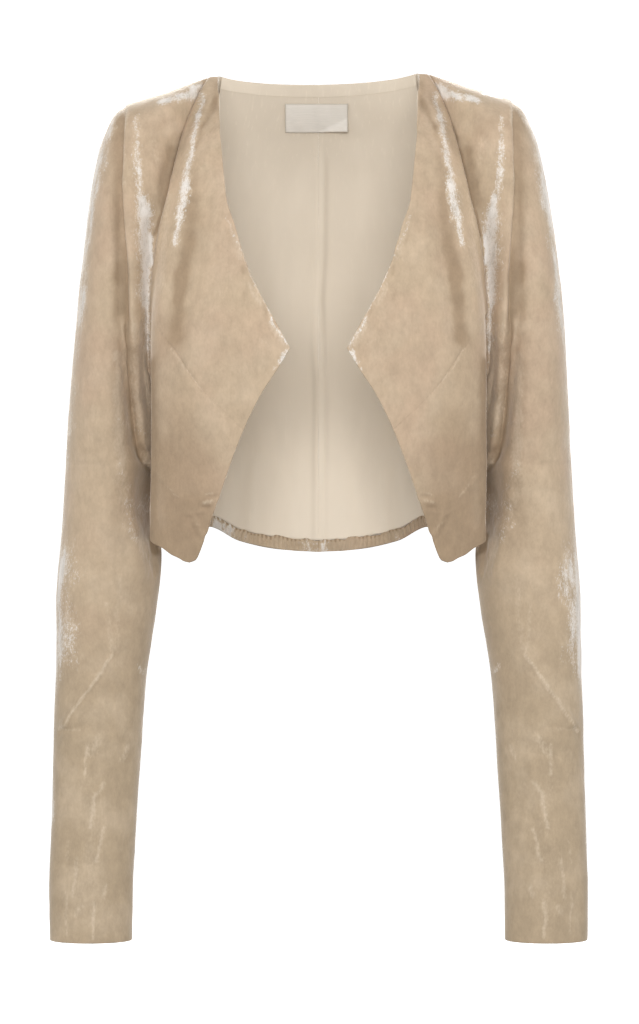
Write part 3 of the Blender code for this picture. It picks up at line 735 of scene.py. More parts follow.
# The neck facing and the label
NECK_FACING = 0.0105
FACING_TONE = 0.05
LABEL_WIDTH = 0.056
LABEL_HEIGHT = 0.025
LABEL_TOP = -0.0162
LABEL_CENTRE = -0.0018
LABEL_BOW = 0.0006
LABEL_CURL = 0.0045
CURL_FROM = 1.45
CURL_OVER = 0.55
# The label's edges are darker: stitched edges with painted shadow
LABEL_EDGE = 0.0014
LABEL_EDGE_TONE = 0.75

# Cut sizes of the cloth: width and length of the piece laid flat, and its area
Cut = namedtuple("Cut", "width length area held")

# Grid counts. Each velvet panel needs even counts, because its inside has every second line.
INSIDE_STEP = 2
INSIDE_REACH = 4
RAGLAN_ROWS = 180
SEAM_ROW = 110
POINT_ROW = 84
SIDE_ROWS = 34
BAND_ROWS = 8
ARM_ROWS = 200
FRONT_COLUMNS = 128
BACK_COLUMNS = 80
SLEEVE_FRONT_COLUMNS = 112
SLEEVE_BACK_COLUMNS = 64
COLUMNS_PER_PUCKER = 8
BAND_LINES = 14
FACING_LINES = 8
LABEL_COLUMNS = 56
LABEL_LINES = 30
LINING_SIDE_COLUMNS = 2
LINING_COLUMNS = 60
TUCK_COLUMNS = 8
TUCK_LINES = 36
RING_PROBES = 361
SECTION_PROBES = 400
CREASE_AVERAGE = 12
CREASE_SHARES = (0.30, 0.70)
TIP_CROWDING = 1.4

# Colours
TAN = (0.468, 0.360, 0.250)
TAN_ROSE = (0.472, 0.351, 0.247)
# Painted shade, in folds, recesses, beside edges and toward the hem
TAN_DARK = (0.290, 0.207, 0.132)
# Pale clouds in the tan, and the painted sheen's pale fringe
TAN_PALE = (0.565, 0.454, 0.333)
# Pale marks: ruffled pile, and painted light on shaded flanks and on the hem's pucker crests
TAN_RUFFLED_LIT = (0.600, 0.495, 0.375)
# Painted shade on the sleeves, darker downward from below the underarm
TAN_LOWER_SHADE = (0.385, 0.298, 0.202)
# Painted sheen colours, silver where the crushed pile lies flat and whitest where it is strongest
SILVER = (0.750, 0.705, 0.655)
SILVER_DARK = (0.580, 0.540, 0.490)
FROST = (0.930, 0.912, 0.885)
LINING_COLOUR = (0.662, 0.576, 0.464)
# Paler lining: its own paleness and slubs, and the painted light toward +X and along the tuck
LINING_PALE = (0.835, 0.740, 0.612)
# Painted shade of the inside along seams, near the neck and beside the tuck
LINING_SHADE = (0.230, 0.165, 0.110)
SATIN = (0.690, 0.640, 0.570)
SATIN_PALE = (0.730, 0.678, 0.608)
# The label's stitched edges, with painted shadow
SATIN_EDGE = (0.400, 0.340, 0.265)
SATIN_DARK = (0.640, 0.590, 0.520)
WHITE = (1.0, 1.0, 1.0)

# Noises of the materials: features a metre, detail, and how far each axis is drawn out
Texture = namedtuple("Texture", "scale detail stretch")
EVEN = (1.0, 1.0, 1.0)
NOISE_ROUGHNESS = 0.55
NOISE_MIDDLE = 0.5
VELVET_TEXTURES = {
    "cloudy": Texture(26.0, 4.0, EVEN),
    "rosy": Texture(14.0, 2.0, EVEN),
    "brushed": Texture(150.0, 5.0, (1.0, 1.0, 0.60)),
    "fibres": Texture(520.0, 3.0, (1.0, 1.0, 0.60)),
    "grain": Texture(1150.0, 2.0, EVEN),
    "glints": Texture(620.0, 1.0, (1.0, 1.0, 0.55)),
    "mottled": Texture(55.0, 6.0, EVEN),
}
LINING_TEXTURES = {
    "cloudy": Texture(18.0, 3.0, (1.0, 1.0, 0.35)),
    "slubs": Texture(420.0, 2.0, (1.0, 1.0, 0.06)),
}
SATIN_TEXTURES = {
    "cloudy": Texture(60.0, 2.0, EVEN),
    "ribs": Texture(900.0, 2.0, (0.08, 1.0, 1.0)),
}

# How strongly the velvet's noises join in its nap, its broken silver, its flat pile and its pile's height
NAP = {"mottled": 0.26, "brushed": 0.32, "fibres": 0.22, "grain": 0.08}
NAP_LEVEL = 1.0
BROKEN = {"fibres": 1.3, "grain": 1.1}
BROKEN_LEVEL = 1.2
FLAT_PILE = {"brushed": 0.6, "grain": 0.4}
PILE_HEIGHT = {"brushed": 0.8, "fibres": 0.45}
FEATHER_GAIN = 1.0
BRUSHED_GAIN = 1.6

# Ranges in the materials: a value from low to high becomes one from to_low to to_high
Ramp = namedtuple("Ramp", "low high to_low to_high", defaults=(0.0, 1.0))
ROSY = Ramp(0.40, 0.65)
CLOUDED = Ramp(0.42, 0.72, 0.0, 0.36)
DARKENED = Ramp(0.0, 1.0, 0.0, 0.80)
FEATHERED = Ramp(0.10, 1.1, 0.0, 0.62)
FEATHERED_WHERE = Ramp(0.03, 0.4)
BRUSHED_PALE = Ramp(0.0, 0.75, 0.0, 0.50)
BRUSHED_WHERE = Ramp(0.03, 0.25)
SILVERED = Ramp(0.32, 0.86, 0.0, 0.9)
GLINTING = Ramp(0.60, 0.70, 0.0, 0.60)
SHINING = Ramp(0.36, 0.56)
FROSTED = Ramp(0.95, 1.5, 0.0, 0.85)
VELVET_ROUGHNESS = Ramp(0.0, 1.0, 0.82, 0.50)
VELVET_SHEEN = Ramp(0.2, 1.1, 0.70, 0.10)
LINING_CLOUDED = Ramp(0.35, 0.70, -0.15, 0.25)
LINING_SLUBS = Ramp(0.55, 0.75, 0.0, 0.25)
LINING_SHADED = Ramp(0.0, -1.0)
SATIN_RIBS = Ramp(0.35, 0.70)
SATIN_CLOUDED = Ramp(0.55, 0.35, 0.0, 0.35)
SATIN_ROUGHNESS = Ramp(0.3, 0.7, 0.34, 0.50)

# Finishes, bumps, and weaves in threads a metre. A wave texture of scale 1 has WAVES bands a metre.
VELVET_FINISH = {"Specular IOR Level": 0.15, "Sheen Roughness": 0.35, "Sheen Tint": (1.0, 0.93, 0.84, 1.0)}
LINING_FINISH = {"Roughness": 0.80, "Specular IOR Level": 0.20, "Sheen Weight": 0.10}
Bump = namedtuple("Bump", "strength distance")
VELVET_BUMP = Bump(0.35, 0.0012)
LINING_BUMP = Bump(0.20, 0.0003)
SATIN_BUMP = Bump(0.25, 0.0002)
LINING_THREADS = 1800.0
SATIN_THREADS = 2600.0
WAVES = 3.1831

# Sockets of a mix node that hold its share and colours
MIX_SHARE = 0
MIX_ONE = 6
MIX_TWO = 7
MIX_RESULT = 2

# Stage, light and camera
STAGE_FLOOR = -1.15
STAGE_HUB = 0.02
STAGE_RADIUS = 9.0
STAGE_BEND = 3.0
STAGE_HEIGHT = 8.0
STAGE_SIDES = 96
STAGE_BENDS = 16
STAGE_COLOUR = (0.9, 0.9, 0.9)
STAGE_ROUGHNESS = 0.9
STAGE_GLOW = 0.75
WORLD_LIGHT = 0.36
Light = namedtuple("Light", "name place aim size power")
LIGHTS = rows_of(
    Light,
    ("key", (0.0, -4.2, 0.3), (0.0, 0.0, -0.3), (2.2, 1.6), 120.0),
    ("side_right", (-3.2, -1.2, 0.6), (0.0, 0.0, -0.35), (1.2, 2.4), 48.0),
    ("side_left", (3.2, -1.2, 0.6), (0.0, 0.0, -0.35), (1.2, 2.4), 48.0),
    ("top", (0.0, -0.8, 2.8), (0.0, 0.0, -0.3), (1.8, 1.8), 6.0),
    ("back", (0.0, 3.2, 1.8), (0.0, 0.0, -0.3), (2.4, 1.6), 130.0),
)
CAMERA_SENSOR = 36.0
CAMERA_DISTANCE = 3.5
CAMERA_FRAME_HEIGHT = 0.8704
CAMERA_PLACE = (0.00085, -3.590, -0.378)


def column(table, name):
    return np.array([getattr(row, name) for row in table])


def smooth(knots, values, at):
    """Smooth curve through the values, with no overshoot between knots, which rise."""
    at = np.clip(np.asarray(at, float), knots[0], knots[-1])
    steps = np.diff(knots)
    slopes = np.diff(values) / steps
    tangents = np.empty(len(knots))
    tangents[0], tangents[-1] = slopes[0], slopes[-1]
    before, after = slopes[:-1], slopes[1:]
    same_way = before * after > 0
    safe = np.where(same_way, before + after, 1.0)
    tangents[1:-1] = np.where(same_way, 2 * before * after / safe, 0.0)
    k = np.clip(np.searchsorted(knots, at, side="right") - 1, 0, len(steps) - 1)
    t = (at - knots[k]) / steps[k]
    return (
        values[k] * (1 + 2 * t) * (1 - t) ** 2
        + tangents[k] * steps[k] * t * (1 - t) ** 2
        + values[k + 1] * t * t * (3 - 2 * t)
        + tangents[k + 1] * steps[k] * t * t * (t - 1)
    )


def read(table, key, name, at):
    return smooth(column(table, key), column(table, name), at)


def by_height(table, name, points):
    """A column of a table by height in mm, read at the points. Its rows run downward."""
    return np.interp(-points[..., 2], -MM * column(table, "height"), column(table, name))


# The body's surface, in girth share (0 at the front centre, 1 at the back centre) and height


def ring_xy(height, angle):
    columns = BodyRing._fields[1:]
    width, side, front, back = [read(BODY_RINGS, "height", name, height) for name in columns]
    sine = np.clip(np.sin(angle), 0.0, 1.0)
    cosine = np.cos(angle)
    is_front = cosine > 0
    power = np.where(is_front, 2 / FRONT_ROUNDNESS, 2 / BACK_ROUNDNESS)
    bulge = np.where(is_front, front - side, back - side)
    return -width * sine**power, side + bulge * np.abs(cosine) ** power


RING_ANGLES = np.linspace(0, np.pi, RING_PROBES)
RING_X, RING_Y = ring_xy(np.full(RING_PROBES, GIRTH_HEIGHT), RING_ANGLES)
RING_LENGTHS = np.concatenate([[0], np.cumsum(np.hypot(np.diff(RING_X), np.diff(RING_Y)))])
RING_SHARES = RING_LENGTHS / RING_LENGTHS[-1]


def share_of_angle(degrees):
    return np.interp(np.radians(degrees), RING_ANGLES, RING_SHARES)


def share_of_front_x(height, x):
    width = read(BODY_RINGS, "height", "half_width", height)
    angle = np.arcsin(np.clip(-x / width, 0, 1) ** (FRONT_ROUNDNESS / 2))
    return np.interp(angle, RING_ANGLES, RING_SHARES)


def body_points(flat):
    """Points of the body's surface at (girth share, height) pairs."""
    share, height = flat[..., 0], flat[..., 1]
    x, y = ring_xy(height, np.interp(share, RING_SHARES, RING_ANGLES))
    return np.stack([x, y, height], axis=-1)


def pairs(share, height):
    return np.stack([np.broadcast_to(share, np.shape(height)), height], axis=-1)


def coons(left, right, top, bottom):
    """Grid filled in between four edges, in girth share and height. Rows run from top to bottom."""
    down = np.linspace(0, 1, len(left))[:, None, None]
    across = np.linspace(0, 1, len(top))[None, :, None]
    sides = (1 - across) * left[:, None] + across * right[:, None]
    ends = (1 - down) * top[None] + down * bottom[None]
    corners = (1 - down) * ((1 - across) * top[0] + across * top[-1]) + down * (
        (1 - across) * bottom[0] + across * bottom[-1]
    )
    return sides + ends - corners


def straight(start, end, count):
    return start + (end - start) * np.linspace(0, 1, count + 1)[:, None]


# Seam and edge lines


def raglan_line(table):
    heights = np.linspace(table[-1].height, UNDERARM_HEIGHT, RAGLAN_ROWS + 1)
    return pairs(share_of_angle(read(table, "height", "angle", heights)), heights)


def hem_line(start_angle, end_angle, count):
    shares = np.linspace(share_of_angle(start_angle), share_of_angle(end_angle), count + 1)
    angles = np.degrees(np.interp(shares, RING_SHARES, RING_ANGLES))
    return pairs(shares, read(HEM, "angle", "height", angles))


def banded(top, hem, count):
    """Heights from the top down to the hem, with the last BAND_ROWS rows on the hem's turn-up."""
    above = np.linspace(top, hem + HEM_BAND, count - BAND_ROWS + 1)
    return np.append(above, np.linspace(hem + HEM_BAND, hem, BAND_ROWS + 1)[1:])


def side_seam():
    hem = hem_line(SIDE_ANGLE, SIDE_ANGLE, 0)[0, 1]
    return pairs(share_of_angle(SIDE_ANGLE), banded(UNDERARM_HEIGHT, hem, SIDE_ROWS))


def front_edge_line(table, heights):
    return pairs(share_of_front_x(heights, read(table, "height", "x", heights)), heights)


def bust_seam_line():
    """From the front edge to the raglan seam, bowed up in the half near the raglan."""
    start = front_edge_line(FRONT_EDGE, np.array([BUST_SEAM_HEIGHT]))[0]
    line = straight(start, raglan_line(RAGLAN_FRONT)[SEAM_ROW], FRONT_COLUMNS)
    line[:, 1] += read(BUST_SEAM, "share", "rise", np.linspace(0, 1, FRONT_COLUMNS + 1))
    return line


# Folds and relief


def eased(share):
    share = np.clip(share, 0, 1)
    return share * share * (3 - 2 * share)


def bell(off):
    """Soft hump, 1 at 0 and nearly gone at 2."""
    return np.exp(-(off**2))


def raised(points, normals, height):
    return points + normals * height[..., None]


def drawn_down(points, share):
    """Points with their heights drawn together, so that noise on them runs down the cloth."""
    return points * np.array([1.0, 1.0, share])


def unit(vectors):
    return vectors / np.maximum(np.linalg.norm(vectors, axis=-1, keepdims=True), UNSET_NORMAL)


def face_normals(points):
    one = points[1:, 1:] - points[:-1, :-1]
    two = points[:-1, 1:] - points[1:, :-1]
    return unit(np.cross(two, one))


def grid_normals(points):
    faces = face_normals(points)
    total = np.zeros_like(points)
    for i in (0, 1):
        for j in (0, 1):
            total[i : i + len(faces), j : j + faces.shape[1]] += faces
    return unit(total)


def line_relief(points, lines, scale=1.0):
    """Heights of the troughs and ridges along lines, at the points as seen from the front or the back."""
    x, z = points[..., 0], points[..., 2]
    total = np.zeros_like(x)
    for line in lines:
        x0, z0, x1, z1, half_width, depth = (value * scale for value in line)
        length = np.hypot(x1 - x0, z1 - z0)
        run = ((x - x0) * (x1 - x0) + (z - z0) * (z1 - z0)) / length
        off = ((x - x0) * (z1 - z0) - (z - z0) * (x1 - x0)) / length
        ends = np.clip(np.minimum(run, length - run) / (2 * half_width) + 0.5, 0, 1)
        total += depth * eased(ends) * bell(off / half_width)
    return total


def border_distances(points):
    """Distance of each point from the first and last column and from the top and bottom row."""
    made = []
    for axis in (1, 0):
        steps = np.linalg.norm(np.diff(points, axis=axis), axis=2)
        start = np.zeros_like(np.take(steps, [0], axis=axis))
        run = np.concatenate([start, np.cumsum(steps, axis=axis)], axis=axis)
        made += [run, np.take(run, [-1], axis=axis) - run]
    return made


def folded(points, relief, facing, first_fade, last_fade):
    """Points moved along their normals by the relief, on the side that faces -Y (-1) or +Y (1)."""
    normals = grid_normals(points)
    first, last, _, _ = border_distances(points)
    fade = eased(first / first_fade) * eased(last / last_fade)
    strength = np.clip(facing * normals[..., 1] * FACING_GAIN, 0, 1) * fade
    return raised(points, normals, relief * strength)


def creased(points, folds, creases, facing, first_fade, last_fade):
    """The large folds, then the finer creases, which reach closer to the seams."""
    points = folded(points, line_relief(points, folds), facing, first_fade, last_fade)
    first, last = (min(fade, RELIEF_FADE) for fade in (first_fade, last_fade))
    return folded(points, line_relief(wandering(points, points), creases, MM), facing, first, last)


def hashed(cells, seed):
    """A number from -1 to 1 for each cell, scattered like chance but always the same."""
    first, second = HASH_SHIFTS
    mixed = np.bitwise_xor.reduce(cells * HASH_AXES, axis=-1) ^ seed * HASH_SEED
    mixed = (mixed ^ (mixed >> first)) * HASH_SPREAD
    return 2 * ((mixed ^ (mixed >> second)) & HASH_MASK) / HASH_MASK - 1


def value_noise(points, cell, seed):
    """Smooth noise from -1 to 1, with features of the cell's size."""
    at = points / cell
    base = np.floor(at).astype(np.int64)
    part = eased(at - base)
    total = np.zeros(points.shape[:-1])
    for corner in np.ndindex(2, 2, 2):
        weight = np.prod(np.where(np.array(corner) == 1, part, 1 - part), axis=-1)
        total += weight * hashed(base + np.array(corner), seed)
    return total


def wandering(points, place):
    """Points moved a little by noise at their place on the jacket, so that lines drawn on them waver."""
    moved = points.copy()
    for k, layer in enumerate(WANDER):
        for axis in (0, 2):
            seed = WANDER_SEED + WANDER_SEED_STEP * k + axis
            moved[..., axis] += layer.height * value_noise(place, layer.cell, seed)
    return moved


# Panels of the half at -X, as grids of points


def front_upper():
    neckline = front_edge_line(NECKLINE, np.linspace(NECKLINE[-1].height, POINT_HEIGHT, POINT_ROW + 1))
    point_heights = np.linspace(POINT_HEIGHT, BUST_SEAM_HEIGHT, SEAM_ROW - POINT_ROW + 1)
    edge = np.concatenate([neckline, front_edge_line(FRONT_EDGE, point_heights[1:])])
    seam = raglan_line(RAGLAN_FRONT)[: SEAM_ROW + 1]
    neck = straight(edge[0], seam[0], FRONT_COLUMNS)
    points = body_points(coons(edge, seam, neck, bust_seam_line()))
    return creased(points, FRONT_FOLDS, FRONT_CREASES, -1, NO_FADE, FRONT_FADE)


def front_lower():
    rows = RAGLAN_ROWS - SEAM_ROW + SIDE_ROWS
    shares = 1 - (1 - np.linspace(0, 1, rows + 1)) ** TIP_CROWDING
    edge = front_edge_line(FRONT_EDGE, BUST_SEAM_HEIGHT + (TIP_HEIGHT - BUST_SEAM_HEIGHT) * shares)
    outer = np.concatenate([raglan_line(RAGLAN_FRONT)[SEAM_ROW:], side_seam()[1:]])
    hem = hem_line(HEM[0].angle, SIDE_ANGLE, FRONT_COLUMNS)
    hem[0] = edge[-1]
    points = body_points(coons(edge, outer, bust_seam_line(), hem))
    return creased(points, FRONT_FOLDS, FRONT_CREASES, -1, NO_FADE, FRONT_FADE)


def back():
    """From the raglan and side seams to the centre seam. The last rows are the hem's turn-up."""
    left = np.concatenate([raglan_line(RAGLAN_BACK), side_seam()[1:]])
    hem = hem_line(SIDE_ANGLE, BACK_ANGLE, BACK_COLUMNS)
    neck = straight(left[0], np.array([1.0, left[0, 1]]), BACK_COLUMNS)
    across = np.linspace(0, 1, BACK_COLUMNS + 1)
    neck[:, 1] -= BACK_NECK_DIP * across * (2 - across)
    centre = pairs(1.0, banded(neck[-1, 1], hem[-1, 1], len(left) - 1))
    points = body_points(coons(left, centre, neck, hem))
    points = creased(points, BACK_FOLDS, BACK_CREASES, 1, BACK_FADE, BACK_FADE)
    points[:, -1, 0] = 0.0
    return points


def over_arm(run):
    """Over-arm line by share of its length from neck to underarm."""
    line = np.stack([column(OVER_ARM, name) for name in OverArm._fields], axis=-1)
    lengths = np.concatenate([[0], np.cumsum(np.linalg.norm(np.diff(line, axis=0), axis=1))])
    shares = lengths / lengths[-1]
    return np.stack([smooth(shares, line[:, k], run) for k in range(3)], axis=-1)


# One half of the sleeve's sections: its seam, over-arm line and bulge, for every row
Half = namedtuple("Half", "seam outer bulge_y bulge_share pinch")


def half_section(half, across):
    """From the seam out to the over-arm line, bulging between them, at the shares across of every row."""
    inner = np.clip(2 * across, 0, 1)
    rest = np.clip(2 * across - 1, 0, 1)
    bulge_y, bulge_share, pinch = half.bulge_y[:, None], half.bulge_share[:, None], half.pinch[:, None]
    seam, outer = half.seam[:, None], half.outer[:, None]
    seam_y, outer_y = seam[..., 1], outer[..., 1]
    round_share = bulge_share * (1 - np.cos(inner * np.pi / 2))
    round_y = seam_y + (bulge_y - seam_y) * np.sin(inner * np.pi / 2)
    rise = inner**2 * (3 - 2 * inner) + CUSP_SLOPE * inner * (1 - inner) ** 2
    sharp_y = seam_y + (bulge_y - seam_y) * rise
    share = pinch * bulge_share * inner + (1 - pinch) * round_share
    y = pinch * sharp_y + (1 - pinch) * round_y
    share = np.where(across > 0.5, bulge_share + (1 - bulge_share) * np.sin(rest * np.pi / 2), share)
    y = np.where(across > 0.5, outer_y + (bulge_y - outer_y) * np.cos(rest * np.pi / 2), y)
    x = seam[..., 0] + share * (outer[..., 0] - seam[..., 0])
    z = seam[..., 2] + share * (outer[..., 2] - seam[..., 2])
    return np.stack([x, y, z], axis=-1)


def sleeve_half(raglan, side):
    run = np.linspace(0, 1, RAGLAN_ROWS + 1)
    arm = np.linspace(UNDERARM_HEIGHT, CUFF_HEIGHT, ARM_ROWS + 1)[1:]
    above = {name: read(SHOULDER_SECTIONS, "run", name, run) for name in ShoulderSection._fields}
    below = {name: read(ARM_SECTIONS, "height", name, arm) for name in ArmSection._fields}
    inner, outer = [np.stack([below[name], below["mid_y"], arm], axis=-1) for name in ("inner_x", "outer_x")]
    return Half(
        np.concatenate([body_points(raglan_line(raglan)), inner]),
        np.concatenate([over_arm(run), outer]),
        np.concatenate([above[side + "_y"], below[side + "_y"]]),
        np.concatenate([above[side + "_share"], np.full(ARM_ROWS, ARM_BULGE_SHARE)]),
        np.concatenate([np.ones(RAGLAN_ROWS + 1), below["pinch"]]),
    )


def crease_columns(half):
    """Shares across each row, drawn together along the shoulder crease so that its edge stays sharp."""
    probes = np.broadcast_to(np.linspace(0, 1, SECTION_PROBES), (len(half.seam), SECTION_PROBES))
    section = half_section(half, probes)
    inside_crease = section[..., 0] > MM * by_height(SHOULDER_CREASE, "x", section)
    at = np.clip(np.mean(inside_crease, axis=1), *CREASE_SHARES)
    count = 2 * CREASE_AVERAGE + 1
    padded = np.pad(at, CREASE_AVERAGE, mode="edge")
    at = np.convolve(padded, np.full(count, 1 / count), mode="valid")[:, None]
    spread = np.linspace(-1, 1, SLEEVE_FRONT_COLUMNS + 1)
    drawn = np.sign(spread) * np.abs(spread) ** CREASE_DRAW
    return np.where(drawn < 0, at * (1 + drawn), at + (1 - at) * drawn)


def sleeve():
    """From the front raglan seam round the outside to the back one, and below them round to itself."""
    front, rear = sleeve_half(RAGLAN_FRONT, "front"), sleeve_half(RAGLAN_BACK, "back")
    even = np.linspace(0, 1, SLEEVE_BACK_COLUMNS + 1)
    rear_points = half_section(rear, np.broadcast_to(even, (len(rear.seam), len(even))))
    points = np.concatenate([half_section(front, crease_columns(front)), rear_points[:, -2::-1]], axis=1)
    points = creased(points, SLEEVE_FRONT_FOLDS, SLEEVE_FRONT_CREASES, -1, SLEEVE_FADE, SLEEVE_FADE)
    return creased(points, SLEEVE_BACK_FOLDS, SLEEVE_BACK_CREASES, 1, SLEEVE_FADE, SLEEVE_FADE)


def shoulder_crease(points, normals):
    """Rise of the shoulder crease at each point of the right sleeve, and how far its edge leans outward."""
    names = ("x", "rise", "edge", "recess")
    x, rise, edge, recess = [by_height(SHOULDER_CREASE, name, points) for name in names]
    off = points[..., 0] - MM * x
    facing = np.clip(CREASE_OVER_TOP - normals[..., 1] * FACING_GAIN, 0, 1)
    rise = MM * rise * facing
    rolled = 0.5 + 0.5 * np.tanh(off / (MM * edge))
    roll = rolled * bell(off / CREASE_ROLL)
    recess = recess * (1 - rolled) * bell(off / CREASE_RECESS)
    return rise * (roll - recess), rise * CREASE_OVERHANG * roll


def crease_shade(points, normals):
    """Painted shade in the fold beside the shoulder crease, on the right sleeve."""
    x, shade = [by_height(SHOULDER_CREASE, name, points) for name in ("x", "shade")]
    off = points[..., 0] - MM * x + CREASE_SHADE_OFF
    return shade * (normals[..., 1] < 0) * bell(off / CREASE_SHADE_REACH)


def raglan_lip(points, distance):
    """Rise of a front's lip by its distance from the raglan seam, and how far it leans over the sleeve."""
    strength = by_height(RAGLAN_LIP, "strength", points)
    rise = LIP_HEIGHT * strength * bell((distance - LIP_OFF) / LIP_REACH)
    return rise, LIP_LEAN * strength * bell(distance / LIP_REACH)


def mirrored(points):
    return (points * np.array([-1.0, 1.0, 1.0]))[:, ::-1]


def uneven(points):
    """The small differences between the two sides."""
    x, z = points[..., 0], points[..., 2]
    made = points.copy()
    made[..., 2] += SHOULDER_TILT * x * eased(1 - z / TILT_HEIGHT)
    reach = bell((z - LEFT_FULLNESS_HEIGHT) / LEFT_FULLNESS_REACH)
    made[..., 0] += LEFT_FULLNESS * reach * eased((x - LEFT_FULLNESS_FROM) / LEFT_FULLNESS_OVER)
    return made


def rumpled(points, seams):
    """Points moved along their normals by the cloth's soft unevenness, which dies out at the seams."""
    fade = np.ones(points.shape[:2])
    for distance, is_seam in zip(border_distances(points), seams):
        if is_seam:
            fade = fade * eased(distance / RELIEF_FADE)
    relief = sum(layer.height * value_noise(points, layer.cell, seed) for seed, layer in enumerate(RELIEF))
    return raised(points, grid_normals(points), relief * fade)


# Shells


def border_indices(rows, columns):
    """Rows and columns of the border points, in order round the grid."""
    top = [(0, j) for j in range(columns - 1)]
    last = [(i, columns - 1) for i in range(rows - 1)]
    bottom = [(rows - 1, j) for j in range(columns - 1, 0, -1)]
    first = [(i, 0) for i in range(rows - 1, 0, -1)]
    return np.array(top + last + bottom + first)


def seam_key(name, point):
    """Where a point is, for grids that meet there. From the underarm down, sleeves and body part."""
    is_sleeve = name.startswith("sleeve") and point[2] < UNDERARM_HEIGHT + TRIM_GAP
    return (*np.round(point / KEY_SIZE).astype(int), is_sleeve)


def shared_normals(grids):
    """Outward normals for each grid, averaged where the borders of grids meet at a seam."""
    made = {name: grid_normals(points) for name, points in grids.items()}
    around = {}
    for name, points in grids.items():
        for i, j in border_indices(*points.shape[:2]):
            around.setdefault(seam_key(name, points[i, j]), []).append(made[name][i, j])
    for name, points in grids.items():
        for i, j in border_indices(*points.shape[:2]):
            made[name][i, j] = unit(np.mean(around[seam_key(name, points[i, j])], axis=0))
    return made


def edged(fields):
    """A grid, the first of the fields, and its other fields with extra lines close to each border."""
    most = np.arange(1, len(EDGE_STEPS) + 1) / (len(EDGE_STEPS) + 1)
    for axis in (0, 1):
        lines = [np.moveaxis(field, axis, 0) for field in fields]
        shares = []
        for edge, beside in ((0, 1), (-1, -2)):
            spacing = np.linalg.norm(lines[0][beside] - lines[0][edge], axis=-1, keepdims=True)
            spacing = np.maximum(spacing, UNSET_NORMAL)
            shares.append([np.minimum(step / spacing, limit) for step, limit in zip(EDGE_STEPS, most)])
        made = []
        for field in lines:
            start = [field[0] + (field[1] - field[0]) * share for share in shares[0]]
            end = [field[-1] + (field[-2] - field[-1]) * share for share in shares[1]]
            made.append(np.concatenate([field[:1], start, field[1:-1], end[::-1], field[-1:]]))
        fields = [np.moveaxis(field, 0, axis) for field in made]
    return fields


def lowest_near(relief):
    """The relief's lowest value close by, softened, for an inside that follows no sharp crease."""
    low = relief
    for axis in (0, 1):
        reach = INSIDE_REACH if axis == 1 else 1
        low = np.min([np.roll(low, k, axis=axis) for k in range(-reach, reach + 1)], axis=0)
    for _ in range(INSIDE_REACH):
        low = (np.roll(low, 1, axis=1) + low + np.roll(low, -1, axis=1)) / 3
    return np.minimum(low, relief)


def bust_groove(points, side):
    """Depth of the bust seam's groove at each point of a front, by its share of the way across."""
    first, last, _, _ = border_distances(points)
    share = (first if side == "right" else last) / (first + last)
    return np.interp(share, column(BUST_GROOVE, "share"), column(BUST_GROOVE, "depth"))


def rounding(points, seams, outside, inside, depths=(1.0, 1.0, 1.0, 1.0)):
    """Offsets of the outside and the inside: sunk along seams, and rounded off along free edges."""
    half = (outside - inside) / 2
    middle = (outside + inside) / 2
    sunk = np.ones(points.shape[:2])
    shut = np.ones(points.shape[:2])
    for distance, is_seam, depth in zip(border_distances(points), seams, depths):
        if is_seam:
            sunk = sunk * (1 - depth * bell(distance / SEAM_SOFTNESS))
        else:
            bow = np.sqrt(1 - (1 - np.clip(distance / half, 0, 1)) ** 2)
            shut = np.minimum(shut, EDGE_SHUT + (1 - EDGE_SHUT) * bow)
    outside_offset = outside - (outside - SUNK_TO) * (1 - sunk)
    return middle + (outside_offset - middle) * shut, middle + (inside - middle) * shut


def seam_shade(points, seams):
    """Tone of the inside: painted shade in the corner along each seam."""
    shade = np.zeros(points.shape[:2])
    for distance, is_seam in zip(border_distances(points), seams):
        if is_seam:
            shade = np.maximum(shade, eased(1 - distance / SEAM_SHADE))
    return -shade * np.interp(-points[..., 2], NECK_SHADE_HEIGHTS, NECK_SHADE_SHARES)


def drawn_in(points, seams):
    """Grid with its seam borders drawn in by half a seam gap."""
    made = points.copy()
    borders = ((1, 0, 1), (1, -1, -2), (0, 0, 1), (0, -1, -2))
    for (axis, edge, beside), is_seam in zip(borders, seams):
        if is_seam:
            lines = np.moveaxis(points, axis, 0)
            np.moveaxis(made, axis, 0)[edge] += unit(lines[beside] - lines[edge]) * HALF_SEAM_GAP
    return made


def quads_of(index):
    corners = [index[:-1, :-1], index[:-1, 1:], index[1:, 1:], index[1:, :-1]]
    return np.stack(corners, axis=-1).reshape(-1, 4)


def rim_of(border, far):
    """Faces between the borders of the two sides, the second of which may have every second point."""
    if len(far) == len(border):
        onward = np.roll(np.arange(len(border)), -1)
        return np.stack([border[onward], border, far, far[onward]], axis=-1)
    first, middle, last = border[::2], border[1::2], np.roll(border[::2], -1)
    beside = np.roll(far, -1)
    triangles = [(middle, first, far), (middle, far, beside), (last, middle, beside)]
    return np.concatenate([np.stack(corners, axis=-1) for corners in triangles])


def added(name, data):
    made = bpy.data.objects.new(name, data)
    bpy.context.scene.collection.objects.link(made)
    return made


